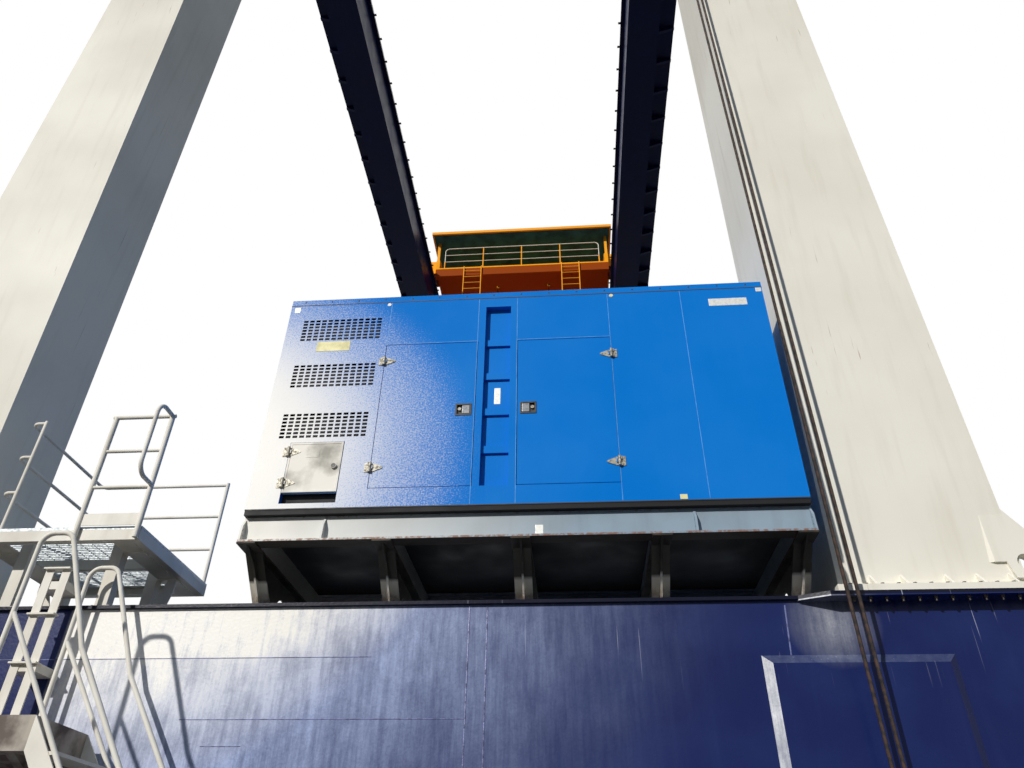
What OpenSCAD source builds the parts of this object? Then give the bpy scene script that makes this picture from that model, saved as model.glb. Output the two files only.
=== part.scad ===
// Rubber tyred gantry crane at its real size, in millimetres.
// X runs along the sill beams (the way the crane travels), Y along the main
// girders (the span) and Z up. The origin is on the ground, midway between the
// four legs. The generator set stands on the near sill beam, on the -Y side.

/* [Portal] */
// Distance between the centre lines of the two sill beams
span = 23470; // [20000:10:26000]
// Length of a sill beam
sill_l = 11000; // [10400:10:12600]
// Width of a sill beam over its webs
sill_w = 900; // [860:10:1000]
// Depth of a sill beam, plates included
sill_h = 1534; // [1400:1:1600]
// Height of a sill beam's top above the ground
sill_top = 3534; // [3500:1:3800]
// Thickness of the sill beam's top plate
sill_plate_t = 25; // [16:1:40]
// How far the sill beam's top plate stands past each web
sill_plate_lip = 30; // [20:1:60]
// Half the clear distance between the two legs of one side, at their feet
leg_in = 3420; // [3300:5:3500]
// Leg width at the foot, along the sill beam
leg_foot_w = 1300; // [1150:5:1400]
// Leg width at the head, along the sill beam
leg_head_w = 740; // [650:5:1000]
// Leg depth at the foot, along the girder
leg_foot_d = 790; // [700:5:850]
// Leg depth at the head, along the girder
leg_head_d = 1300; // [1100:5:1500]
// How far the head of a leg stands further out than its foot
leg_lean_out = 945; // [700:5:1000]
// How far the head of a leg stands further in along the sill beam
leg_lean_in = 160; // [100:5:200]
// Thickness of the bolted plates at foot and head of a leg
leg_plate_t = 45; // [30:1:60]
// Height of the stiffening ribs round the leg's foot
leg_rib_h = 110; // [80:1:160]
// Thickness of the stiffening ribs round the leg's foot
leg_rib_t = 16; // [10:1:25]
// Places of the ribs along the foot's outer face, from the foot's inner edge
leg_ribs = [229, 443, 746, 961, 1180]; // [0:1:1300]
// Distance between the ribs at the sides of the leg's foot
leg_rib_pitch = 260; // [180:5:400]
// Radius of the hole in the leg's lug
lug_r = 60; // [40:1:80]
// Radius of a wire rope
rope_r = 13; // [8:0.5:16]

/* [Girders] */
// Height of the girders' underside above the ground
girder_z = 20800; // [19000:10:22000]
// Depth of a girder between its plates
girder_h = 1240; // [1000:10:1400]
// Width of a girder over its webs
girder_w = 760; // [700:10:900]
// Distance of a girder's inner web from the middle of the crane
girder_in = 3490; // [3400:10:3600]
// How far a girder runs past the centre line of a sill beam
girder_over = 1900; // [1500:10:2400]
// Thickness of a girder's plates
girder_plate_t = 25; // [16:1:40]
// How far a girder's top plate stands past its inner web
girder_lip = 110; // [60:5:150]
// Height of a trolley rail
rail_h = 90; // [60:1:120]
// Width of a trolley rail
rail_w = 70; // [50:1:90]
// Height of the stops at the rails' ends
stop_h = 420; // [300:10:600]

/* [Girder walkways] */
// Width of the walkway along a girder
walk_w = 600; // [500:10:700]
// Thickness of the walkway's grating
walk_t = 40; // [25:1:60]
// Distance between the brackets under a walkway
walk_pitch = 950; // [800:5:1200]
// Depth of a walkway bracket at the girder
walk_bracket_h = 260; // [150:5:350]
// Height of a handrail above its floor
rail_height = 1050; // [950:5:1100]
// Radius of the handrail tube
tube_r = 17; // [14:0.5:24]
// Radius of the tube of the handrail's lower rails
knee_r = 14; // [10:0.5:20]

/* [Wheels] */
// Distance between the two wheels of one bogie
wheel_base = 2400; // [2200:10:2600]
// Distance of a bogie's middle from the middle of the crane
bogie_x = 3435; // [3300:5:3600]
// Radius of a tyre
tyre_r = 745; // [700:5:790]
// How far a loaded tyre is flattened where it stands
tyre_squat = 20; // [10:1:30]
// Width of a tyre
tyre_w = 440; // [400:5:480]
// Radius of a wheel rim
rim_r = 330; // [300:5:360]
// Thickness of a bogie's side plates
bogie_plate = 50; // [30:1:60]
// Clearance between a tyre and the bogie's side plates
tyre_gap = 45; // [30:1:60]

/* [Generator housing] */
// Gap between the housing's right end and the leg's foot
gen_gap = 195; // [150:1:300]
// Length of the generator housing
gen_l = 4091; // [3900:1:4400]
// Depth of the generator housing, front to back
gen_d = 1780; // [1600:1:2000]
// How far the housing's front stands in front of the sill beam
gen_front = 440; // [400:1:500]
// Height of the housing's underside above the ground
gen_z0 = 4092; // [4080:1:4150]
// Height of the housing from underside to roof
gen_h = 1991; // [1900:1:2100]
// Thickness of the housing's walls
gen_wall = 60; // [40:1:80]
// Height of the roof's edge trim
gen_trim = 57; // [40:1:80]
// Width of the left door
door_l_w = 770; // [700:1:800]
// Width of the right door
door_r_w = 761; // [700:1:800]
// Left edge of the left door, from the left end of the housing
door_l_at = 908; // [900:1:930]
// Left edge of the right door, from the left end of the housing
door_r_at = 2016; // [1990:1:2040]
// Height of the doors
door_h = 1344; // [1200:1:1400]
// Lower edge of the doors above the housing's underside
door_sill = 159; // [140:1:200]
// Thickness of the doors
door_t = 50; // [40:1:55]
// Gap round a door
door_gap = 5; // [4:0.5:8]
// Left edge of the ladder recess, from the left end of the housing
recess_at = 1739; // [1720:1:1750]
// Width of the ladder recess
recess_w = 214; // [180:1:230]
// Height of the ladder recess
recess_h = 1731; // [1600:1:1780]
// Depth of the ladder recess
recess_d = 150; // [100:1:200]
// Number of rungs in the ladder recess
recess_rungs = 4; // [2:1:6]
// Distance from one rung in the recess to the next
recess_pitch = 344; // [300:1:400]
// Height of a rung in the recess
recess_rung_h = 65; // [40:1:80]
// Lowest rung above the recess's lower edge
recess_rung_up = 292; // [200:1:400]
// Left edge of the grilles, from the left end of the housing
grille_at = 141; // [100:1:150]
// Width of a grille
grille_w = 691; // [600:1:720]
// Height of a grille
grille_h = 225; // [200:1:240]
// Distance from one grille to the next
grille_pitch = 487; // [450:1:500]
// Lower edge of the lowest grille above the housing's underside
grille_z = 613; // [600:1:640]
// Columns of holes in a grille
grille_cols = 13; // [6:1:16]
// Rows of holes in a grille
grille_rows = 7; // [4:1:8]
// Width of the bars between a grille's columns
grille_bar = 15; // [10:0.5:20]
// Height of the bars between a grille's rows
grille_rib = 12; // [8:0.5:15]
// Left edge of the service hatch, from the left end of the housing
hatch_at = 252; // [200:1:300]
// Width of the service hatch
hatch_w = 420; // [360:1:460]
// Height of the service hatch
hatch_h = 430; // [380:1:460]
// Lower edge of the service hatch above the housing's underside
hatch_z = 135; // [120:1:150]
// Open slot left under the service hatch
hatch_slot = 90; // [60:1:100]
// Width of a door latch
latch_w = 128; // [110:1:150]
// Height of a door latch
latch_h = 109; // [90:1:130]
// Length of a hinge's strap on the door
strap_l = 92; // [60:1:120]

/* [Generator support] */
// Height of the support beams
beam_h = 210; // [180:1:240]
// Width of the support beams' lower flanges
beam_w = 124; // [100:1:160]
// How far the support beams' webs stand behind the housing's front and back
beam_in = 49; // [30:1:80]
// Thickness of the support beams' flanges and webs
beam_t = 16; // [10:1:20]
// Height of the dark skid under the housing
skid_h = 42; // [30:1:60]
// How far the skid is set back from the housing's outline
skid_back = 3; // [0:1:60]
// Places of the beams' inner stiffeners, from the housing's left end
beam_stiff = [601, 3271]; // [200:1:3900]
// Number of brackets under each support beam
bracket_n = 5; // [3:1:7]
// Thickness of the bracket plates
bracket_t = 14; // [10:1:20]
// Width of a bracket's sloping flanges
bracket_w = 130; // [100:1:180]
// Width of the cap plate on a bracket
cap_w = 138; // [120:1:200]
// Thickness of the cap plate on a bracket
cap_t = 12; // [8:1:20]
// Width of the arched opening in a bracket
arch_w = 300; // [200:5:400]
// Height of the arched opening in a bracket
arch_h = 180; // [152:1:220]

/* [Access platform] */
// Left end of the platform
plat_x0 = -3070; // [-3150:1:-3000]
// Length of the platform
plat_l = 1320; // [1200:1:1400]
// How far the platform's front stands in front of the sill beam
plat_front = 225; // [200:1:300]
// Depth of the platform, front to back
plat_d = 1240; // [1100:1:1300]
// Height of the platform's underside above the sill beam
plat_up = 441; // [380:1:480]
// Height of the platform's frame
plat_frame_h = 85; // [70:1:120]
// Thickness of the platform frame's plates
plat_frame_t = 8; // [6:1:12]
// Width of the platform frame's flanges at front and back
plat_flange = 60; // [40:1:90]
// Width of the platform frame's bottom plates at the sides
plat_side_w = 230; // [180:1:260]
// Place of the cross beam, from the platform's front
plat_beam_at = 580; // [400:5:800]
// Thickness of the platform's grating
plat_floor_t = 25; // [20:1:40]
// Height of the toe board
toe_h = 100; // [80:1:120]
// Height of the platform's railing above its grating
plat_rail_h = 990; // [900:5:1100]
// Length of the railing at the platform's front
plat_gate_l = 488; // [400:1:600]
// How far the loop at the front railing stands out
hoop_out = 225; // [150:5:300]
// Height of the loop at the front railing
hoop_h = 645; // [500:5:700]
// Radius of the front railing's posts
post_r = 21; // [18:0.5:25]
// Width of the posts that carry the platform
plat_post_w = 95; // [60:1:110]
// Depth of the posts that carry the platform
plat_post_d = 80; // [50:1:100]
// Width of the ladder up to the platform, between the middles of its sides
ladder_w = 130; // [120:1:400]
// Width of the ladder's flat sides
stile_w = 65; // [30:1:80]
// Distance between the ladder's rungs
rung_pitch = 345; // [280:1:360]
// Top of the ladder under the platform's frame
ladder_low = 215; // [60:5:300]
// Height of the landing above the ground
landing_z = 2610; // [2400:10:2700]
// Length of the landing
landing_l = 900; // [700:10:1100]
// Depth of the landing's edge
landing_h = 200; // [120:5:240]
// Slope of the stair, in degrees
stair_slope = 54; // [50:1:58]
// Clear width of the stair between its handrails
stair_w = 600; // [500:10:650]
// Distance of the stair from the sill beam
stair_gap = 140; // [120:5:200]
// Rise of one step of the stair
step_rise = 215; // [190:1:230]

/* [Trolley] */
// Where the trolley's middle stands along the girders, as in the photograph
trolley_y = 5800; // [4000:10:7000]
// Length of the trolley along the girders
trolley_l = 4400; // [4000:10:5000]
// Distance from the trolley's ends to its wheels, along the girders
trolley_over = 600; // [560:10:800]
// Radius of a trolley wheel
trolley_wheel_r = 300; // [250:5:350]
// Height of the trolley's floor frame
trolley_frame_h = 420; // [300:5:500]
// Height of the trolley's roof edge above its floor
trolley_roof_up = 1500; // [1300:5:2000]
// Distance of a trolley ladder from the middle
trolley_ladder_x = 1860; // [1000:10:2400]
// Width of a trolley ladder
trolley_ladder_w = 660; // [400:10:700]
// Length of a trolley ladder below the floor
trolley_ladder_l = 1500; // [1000:10:1800]
// Distance between the rungs of a trolley ladder
trolley_rung = 300; // [250:5:350]
// How far the trolley's roof stands past its side beams
trolley_roof_out = 180; // [100:5:250]
// How far the trolley's roof stands past its floor, to the front
trolley_eave = 400; // [200:10:600]
// Thickness of the trolley's roof
trolley_roof_t = 120; // [80:5:160]
// Travel of the trolley towards the generator side
trolley_travel = 16500; // [100:100:17000]

/* [Hoist and cab] */
// How far the hoist's middle lies in front of the trolley's middle
hoist_ahead = 350; // [0:10:500]
// Rope drum's radius
drum_r = 380; // [300:5:420]
// Rope drum's length between its flanges
drum_l = 2400; // [2300:10:2800]
// Height of the drum's flanges over the drum
drum_flange = 70; // [40:5:90]
// Radius of the rope sheaves
sheave_r = 240; // [200:5:260]
// Width of the rope sheaves
sheave_w = 70; // [50:5:90]
// Distance of the outer rope falls from the middle, along the sill
fall_x = 1000; // [800:10:1100]
// Distance of the sheaves from the hoist's middle, along the girders
fall_y = 450; // [350:10:480]
// Radius of the hoist ropes
hoist_rope_r = 14; // [10:0.5:18]
// Height of the spreader's lock pins above the ground
spreader_z = 18350; // [18200:10:18600]
// Spreader's length, that of a twenty foot container
spreader_l = 6058; // [6040:1:6070]
// Spreader's width, that of a container
spreader_w = 2438; // [2420:1:2450]
// Height of the spreader's main beams
spreader_h = 420; // [300:10:500]
// Width of the spreader's main beams
spreader_beam = 220; // [150:5:260]
// Height of the headblock's frame
headblock_h = 260; // [200:10:320]
// Middle of the operator's cab along the sill
cab_x = 1300; // [-1800:10:1800]
// Width of the operator's cab
cab_w = 1500; // [1300:10:1700]
// Depth of the operator's cab
cab_d = 1900; // [1700:10:2100]
// Height of the operator's cab
cab_h = 2150; // [2000:10:2250]

/* [Hidden] */
$fn = 32;
eps = 1;
sill_y = span / 2;
sill_face = sill_y + sill_w / 2;
sill_bottom = sill_top - sill_h;
leg_z0 = sill_top;
leg_z1 = girder_z;
leg_plate_out = 120;
leg_plate_in = 45;
lug_t = 60;
girder_l = span + 2 * girder_over;
girder_x1 = girder_in + girder_w;
girder_top = girder_z + girder_h;
rail_x = girder_in - girder_lip + rail_w / 2 + 5;
rail_top = girder_top + rail_h;
walk_z = girder_top - girder_plate_t - walk_t;
axle_z = tyre_r - tyre_squat;
bogie_in_w = tyre_w + 2 * tyre_gap;
bogie_w = bogie_in_w + 2 * bogie_plate;
bogie_top = sill_bottom - 60;
gen_y0 = -(sill_face + gen_front);
gen_y1 = gen_y0 + gen_d;
gen_x1 = leg_in - gen_gap;
gen_x0 = gen_x1 - gen_l;
gen_z1 = gen_z0 + gen_h;
door_z0 = gen_z0 + door_sill;
door_z1 = door_z0 + door_h;
beam_z1 = gen_z0 - skid_h;
beam_z0 = beam_z1 - beam_h;
beam_flange_y = gen_y0 + beam_in + beam_t / 2 - beam_w / 2;
cap_z0 = beam_z0 - cap_t;
gen_mid_y = (gen_y0 + gen_y1) / 2;
latch_z = gen_z0 + door_sill + door_h / 2;
recess_x0 = gen_x0 + recess_at;
recess_z0 = gen_z0 + 155;
recess_t = 20;
pin_out = 16;
grip = 5;
bend_more = 0.6;
plat_x1 = plat_x0 + plat_l;
plat_y0 = -(sill_face + plat_front);
plat_y1 = plat_y0 + plat_d;
plat_z0 = sill_top + plat_up;
plat_z1 = plat_z0 + plat_frame_h;
plat_floor_z = plat_z1 + plat_floor_t;
plat_post_x = plat_x1 - plat_side_w - plat_post_w;
plat_post_y = [-sill_face - 5, -sill_face + 585];
stair_y1 = -(sill_face + stair_gap);
stair_y0 = stair_y1 - stair_w;
stair_x0 = -1720;
stair_run = landing_z / tan(stair_slope);
arch_x = -2110;
arch_z = 3790;
trolley_floor_z = rail_top + 70;
trolley_y0 = trolley_y - trolley_l / 2;
trolley_y1 = trolley_y + trolley_l / 2;
trolley_wheel_y = [trolley_y0 + trolley_over, trolley_y1 - trolley_over];
axle_up = rail_top + trolley_wheel_r + 0.3;
trolley_flange_r = trolley_wheel_r + 25;
wheel_room = 20;
trolley_floor_t = 60;
trolley_end_h = 360;
hoist_y = trolley_y - hoist_ahead;
hoist_floor = trolley_floor_z + trolley_floor_t;
rope_bend = sheave_r + hoist_rope_r + 1;
sheave_up = hoist_floor + 590;
sheave_down = spreader_z + 1160;
drum_y = hoist_y + fall_y + sheave_r + 60 + drum_r;
drum_z = sheave_up + sheave_r - drum_r;
drum_to_gear = 339.7;
falls = [[fall_x, hoist_y - fall_y], [fall_x - 160, hoist_y + fall_y]];
pin_h = 110;
corner_w = 180;
end_beam_h = 300;
spreader_top = spreader_z + pin_h + 40 + spreader_h;
cab_y0 = hoist_y + spreader_w / 2 + 380;
cab_z1 = girder_z + 500;
cab_z0 = cab_z1 - cab_h;
cab_knee = 750;
cab_slope = 480;
pane_t = 10;
trolley_x = girder_in - girder_lip - 80;
trolley_beam_w = 140;
trolley_roof_x = trolley_x + trolley_roof_out;
trolley_front_x = trolley_x - 330;
trolley_post_w = 100;
trolley_post_x = trolley_x - trolley_post_w;

// A box from its lowest to its highest corner.
module block(lo, hi) translate(lo) cube(hi - lo);

// A profile in Y and Z, drawn out along X.
module prism_x(profile, x0, x1)
    translate([x0, 0, 0]) rotate([90, 0, 90]) linear_extrude(x1 - x0) polygon(profile);

// A profile in X and Z, drawn out along Y.
module prism_y(profile, y0, y1)
    translate([0, y1, 0]) rotate([90, 0, 0]) linear_extrude(y1 - y0) polygon(profile);

// A round bar from one point to another.
module rod(a, b, r) {
    d = b - a;
    len = norm(d);
    translate(a) rotate([0, acos(d.z / len), atan2(d.y, d.x)]) cylinder(h = len, r = r);
}

// A tube along a list of points, bent to a radius at each point between its ends.
// A bend is a little thicker than the straight lengths and grips their ends.
function unit(v) = v / norm(v);
function way_in(p, i) = unit(p[i] - p[i - 1]);
function turn(p, i) = acos(way_in(p, i) * way_in(p, i + 1));
function bend_len(p, i, bend) = i <= 0 || i >= len(p) - 1 ? 0 : bend * tan(turn(p, i) / 2);
module tube(p, r, bend = 60) {
    for (i = [0 : len(p) - 2]) {
        d = unit(p[i + 1] - p[i]);
        a = bend_len(p, i, bend);
        b = bend_len(p, i + 1, bend);
        rod(p[i] + d * max(a - grip, 0), p[i + 1] - d * max(b - grip, 0), r);
    }
    for (i = [1 : 1 : len(p) - 2]) {
        d = way_in(p, i);
        n = unit(way_in(p, i + 1) - (d * way_in(p, i + 1)) * d);
        w = cross(-n, d);
        c = p[i] - d * bend_len(p, i, bend) + n * bend;
        multmatrix([[-n.x, d.x, w.x, c.x], [-n.y, d.y, w.y, c.y], [-n.z, d.z, w.z, c.z], [0, 0, 0, 1]])
            rotate_extrude(angle = turn(p, i)) translate([bend, 0]) circle(r + bend_more);
    }
}

// Sides of the crane: near is -Y, left is -X.
module near() mirror([0, 1, 0]) children();
module left() mirror([1, 0, 0]) children();
module both_x() { children(); mirror([1, 0, 0]) children(); }
module both_y() { children(); mirror([0, 1, 0]) children(); }

// Sill beam on the far side: a welded box with a lipped top plate that widens
// under each leg, and a bevelled doubling plate over each bogie.
module sill() {
    pad_w = 1270;
    pad_top = sill_top - 404;
    pad_t = 40;
    pad_bevel = 60;
    seat_x0 = leg_in - leg_plate_in - 60;
    seat_x1 = leg_in + leg_foot_w + leg_plate_out;
    color("midnightblue") {
        block([-sill_l / 2, sill_y - sill_w / 2, sill_bottom],
              [sill_l / 2, sill_y + sill_w / 2, sill_top]);
        block([-sill_l / 2, sill_y - sill_w / 2 - sill_plate_lip, sill_top - sill_plate_t],
              [sill_l / 2, sill_y + sill_w / 2 + sill_plate_lip, sill_top]);
        both_x() translate([0, 0, sill_top - sill_plate_t - 10]) linear_extrude(sill_plate_t + 10)
            polygon([[seat_x0 - 200, sill_y], [seat_x0 - 200, sill_face + sill_plate_lip],
                     [seat_x0, sill_face + leg_plate_out], [seat_x1, sill_face + leg_plate_out],
                     [seat_x1 + 200, sill_face + sill_plate_lip], [seat_x1 + 200, sill_y]]);
        both_x() intersection() {
            prism_x([[sill_face - 10, sill_bottom], [sill_face + pad_t, sill_bottom],
                     [sill_face + pad_t, pad_top - pad_bevel], [sill_face, pad_top],
                     [sill_face - 10, pad_top]], bogie_x - pad_w / 2, bogie_x + pad_w / 2);
            translate([0, 0, sill_bottom]) linear_extrude(sill_h)
                polygon([[bogie_x - pad_w / 2, sill_face - 10], [bogie_x - pad_w / 2, sill_face],
                         [bogie_x - pad_w / 2 + pad_bevel, sill_face + pad_t],
                         [bogie_x + pad_w / 2 - pad_bevel, sill_face + pad_t],
                         [bogie_x + pad_w / 2, sill_face], [bogie_x + pad_w / 2, sill_face - 10]]);
        }
    }
}

// Leg at the far right corner: a tapered box column on a bolted foot plate,
// with ribs round its foot, a lug on its outer side and a plate on its head.
module leg() {
    y_out = sill_face;
    y_in = sill_face - leg_foot_d;
    x_out = leg_in + leg_foot_w;
    head_x = leg_in - leg_lean_in;
    head_y = y_out + leg_lean_out;
    z0 = leg_z0 + leg_plate_t;
    z1 = leg_z1 - leg_plate_t;
    lug_top = leg_z0 + 676;
    lug_x = x_out - 236;
    lug_bevel = 46;
    color("ivory") {
        intersection() {
            prism_x([[y_in, z0 - eps], [y_out, z0 - eps], [head_y, z1 + eps],
                     [head_y - leg_head_d, z1 + eps]], 0, sill_l);
            prism_y([[leg_in, z0 - eps], [x_out, z0 - eps], [head_x + leg_head_w, z1 + eps],
                     [head_x, z1 + eps]], 0, 2 * sill_y);
        }
        block([leg_in - leg_plate_in, y_in - 60, leg_z0],
              [x_out + leg_plate_out, y_out + leg_plate_out, z0]);
        block([head_x - 60, head_y - leg_head_d - 60, z1],
              [girder_x1 + 60, head_y + 60, leg_z1]);
        for (x = [for (r = leg_ribs) leg_in + r - leg_rib_t / 2])
            prism_x([[y_out - 20, z0 - eps], [y_out + leg_rib_h, z0 - eps],
                     [y_out - 20, z0 + leg_rib_h + 20]], x, x + leg_rib_t);
        for (y = [y_in + 80 : leg_rib_pitch : y_out - 20])
            prism_y([[x_out - 20, z0 - eps], [x_out + leg_rib_h, z0 - eps],
                     [x_out - 20, z0 + leg_rib_h + 20]], y, y + leg_rib_t);
        difference() {
            intersection() {
                prism_y([[lug_x, lug_top - 450], [lug_x, lug_top], [x_out - 55, lug_top],
                         [x_out + 150, lug_top - 280], [x_out + 150, lug_top - 570],
                         [x_out - 80, lug_top - 570], [x_out - 110, lug_top - 450]],
                        y_out - lug_t, y_out + 40);
                linear_extrude(leg_z1) polygon([
                    [lug_x, y_out - lug_t], [lug_x, y_out], [lug_x + lug_bevel, y_out + 30],
                    [x_out + 160, y_out + 30], [x_out + 160, y_out - lug_t]]);
            }
            translate([x_out + 20, y_out + 50, lug_top - 455]) rotate([90, 0, 0])
                cylinder(h = lug_t + 100, r = lug_r);
        }
    }
}

// Two wire ropes beside the near right leg, from a lug on the sill beam to a
// lug under the leg's head plate. They meet at the top.
module leg_ropes() {
    low = [3465, -(sill_face + 150), 2070];
    high = [3006, -(sill_face + 1015), 20720];
    gap = 36;
    pad_face = -(sill_face + 40);
    head = leg_in - leg_lean_in - 60;
    plate_out = -(sill_face + leg_lean_out + 60);
    color("saddlebrown") {
        for (s = [-1, 1]) rod(low + [s * gap, 0, 0], high + [s * (rope_r + 1), 0, 0], rope_r, $fn = 10);
        block([low.x - 70, low.y - 30, low.z - 30], [low.x + 70, pad_face, low.z + 10]);
        block([high.x - 40, high.y - 25, leg_z1 - leg_plate_t - 60],
              [head + 60, high.y + 25, leg_z1 - leg_plate_t]);
    }
}

// Main girder on the right: a box girder with lipped top and bottom plates.
module girder() color("midnightblue") {
    block([girder_in, -girder_l / 2, girder_z], [girder_x1, girder_l / 2, girder_top]);
    block([girder_in - girder_lip, -girder_l / 2, girder_top - girder_plate_t],
          [girder_x1 + 40, girder_l / 2, girder_top]);
    block([girder_in - 30, -girder_l / 2, girder_z],
          [girder_x1 + 30, girder_l / 2, girder_z + girder_plate_t]);
}

module trolley_rails() color("dimgray") both_x() {
    block([rail_x - rail_w / 2, -girder_l / 2 + 200, girder_top],
          [rail_x + rail_w / 2, girder_l / 2 - 200, rail_top]);
    both_y() block([rail_x - 90, girder_l / 2 - 200, girder_top],
                   [rail_x + 90, girder_l / 2 - 60, girder_top + stop_h]);
}

// Walkway on the outer side of the right girder: grating on welded brackets.
module walkway() {
    x0 = girder_x1;
    x1 = girder_x1 + walk_w;
    n = floor((girder_l / 2 - 100) / walk_pitch);
    color("midnightblue") {
        block([x0 + 40, -girder_l / 2, walk_z], [x1, girder_l / 2, walk_z + walk_t]);
        for (i = [-n : n])
            prism_y([[x0, walk_z - walk_bracket_h], [x0 + 40, walk_z - walk_bracket_h],
                     [x1, walk_z - 60], [x1, walk_z], [x0, walk_z]],
                    i * walk_pitch - 40, i * walk_pitch + 40);
    }
}

// Handrail of a girder walkway: posts on every second bracket, three rails.
module handrail() {
    x = girder_x1 + walk_w - tube_r;
    z0 = walk_z + walk_t;
    n = floor((girder_l / 2 - 100) / walk_pitch / 2);
    color("gainsboro") {
        for (i = [-n : n])
            rod([x, i * 2 * walk_pitch, z0], [x, i * 2 * walk_pitch, z0 + rail_height], tube_r);
        for (h = [rail_height / 3, rail_height * 2 / 3, rail_height])
            rod([x, -n * 2 * walk_pitch, z0 + h], [x, n * 2 * walk_pitch, z0 + h], tube_r * 0.9);
    }
}

// Two bogies of one side: an equaliser beam with side plates that hold the
// axles of two wheels, under a pivot block on the sill beam.
module bogies() {
    z_leg = axle_z - 120;
    z_beam = 2 * tyre_r + 20;
    half = wheel_base / 2 + 260;
    color("midnightblue") both_x() translate([bogie_x, sill_y, 0]) {
        difference() {
            for (s = [-1, 1])
                prism_y([[-half, z_leg], [-half + 520, z_leg], [-260, z_beam], [260, z_beam],
                         [half - 520, z_leg], [half, z_leg], [half - 80, bogie_top - 120],
                         [half - 400, bogie_top], [-half + 400, bogie_top],
                         [-half + 80, bogie_top - 120]],
                        s > 0 ? bogie_in_w / 2 : -bogie_w / 2, s > 0 ? bogie_w / 2 : -bogie_in_w / 2);
            for (x = [-wheel_base / 2, wheel_base / 2])
                translate([x, bogie_w, axle_z]) rotate([90, 0, 0]) cylinder(h = 2 * bogie_w, r = 70.3);
        }
        block([-half + 400, -bogie_in_w / 2, bogie_top - 60], [half - 400, bogie_in_w / 2, bogie_top]);
        block([-230, -bogie_in_w / 2, z_beam + 20], [230, bogie_in_w / 2, bogie_top]);
        block([-320, -260, bogie_top], [320, 260, sill_bottom]);
    }
}

// Wheel rims of one side: a dished disc, a hub and the axle's ends.
module rims() color("gainsboro") both_x()
    for (x = [-wheel_base / 2, wheel_base / 2]) translate([bogie_x + x, sill_y, axle_z])
        rotate([90, 0, 0]) {
            difference() {
                cylinder(h = tyre_w - 40, r = rim_r, center = true);
                for (s = [-1, 1]) translate([0, 0, s * (tyre_w / 2 - 20)])
                    cylinder(h = 200, r = rim_r - 30, center = true);
            }
            cylinder(h = tyre_w - 60, r = 140, center = true);
            cylinder(h = bogie_w + 20, r = 70, center = true);
        }

// Tyres of one side, flattened where they stand on the ground.
module tyres() color([0.09, 0.09, 0.1]) both_x()
    for (x = [-wheel_base / 2, wheel_base / 2]) translate([bogie_x + x, sill_y, axle_z])
        difference() {
            rotate([90, 0, 0]) rotate_extrude($fn = 64) polygon([
                [rim_r + 0.3, -tyre_w / 2 + 20], [rim_r + 60, -tyre_w / 2], [tyre_r - 150, -tyre_w / 2],
                [tyre_r - 40, -tyre_w / 2 + 30], [tyre_r, -tyre_w / 2 + 90],
                [tyre_r, tyre_w / 2 - 90], [tyre_r - 40, tyre_w / 2 - 30],
                [tyre_r - 150, tyre_w / 2], [rim_r + 60, tyre_w / 2], [rim_r + 0.3, tyre_w / 2 - 20]]);
            block([-tyre_r, -tyre_w, -axle_z - tyre_r], [tyre_r, tyre_w, -axle_z]);
        }

// Support of the generator set: two beams with a wide lower flange, holed
// stiffeners in front of their webs, and cross beams between them.
module support_beams() {
    hole_r = 9;
    foot = beam_z0 + beam_t;
    color("lightsteelblue") {
        for (m = [0, 1]) translate([0, 2 * gen_mid_y * m, 0]) mirror([0, m, 0]) {
            web = gen_y0 + beam_in;
            block([gen_x0, web, beam_z0], [gen_x1, web + beam_t, beam_z1]);
            block([gen_x0, web, beam_z1 - beam_t], [gen_x1, web + beam_w / 2, beam_z1]);
            block([gen_x0, beam_flange_y, beam_z0], [gen_x1, beam_flange_y + beam_w, foot]);
            for (x = [0, beam_stiff[0], beam_stiff[1], gen_l - beam_t]) difference() {
                prism_x([[web + eps, foot - eps], [beam_flange_y + 2, foot - eps],
                         [beam_flange_y + 2, foot], [beam_flange_y + 12, foot + 114],
                         [web, beam_z1 - beam_t], [web + eps, beam_z1 - beam_t]],
                        gen_x0 + x, gen_x0 + x + beam_t);
                for (z = [40, 90]) translate([gen_x0 + x - 5, web - 25, foot + z])
                    rotate([0, 90, 0]) cylinder(h = beam_t + 10, r = hole_r);
            }
        }
        for (i = [0 : bracket_n - 1]) {
            x = bracket_x(i);
            block([x - 40, gen_y0 + beam_in + beam_t - eps, beam_z0],
                  [x + 40, gen_y1 - beam_in - beam_t + eps, beam_z1 - 20]);
        }
    }
}
function bracket_x(i) = gen_x0 + 66 + i * (gen_l - 132) / (bracket_n - 1);

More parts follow.
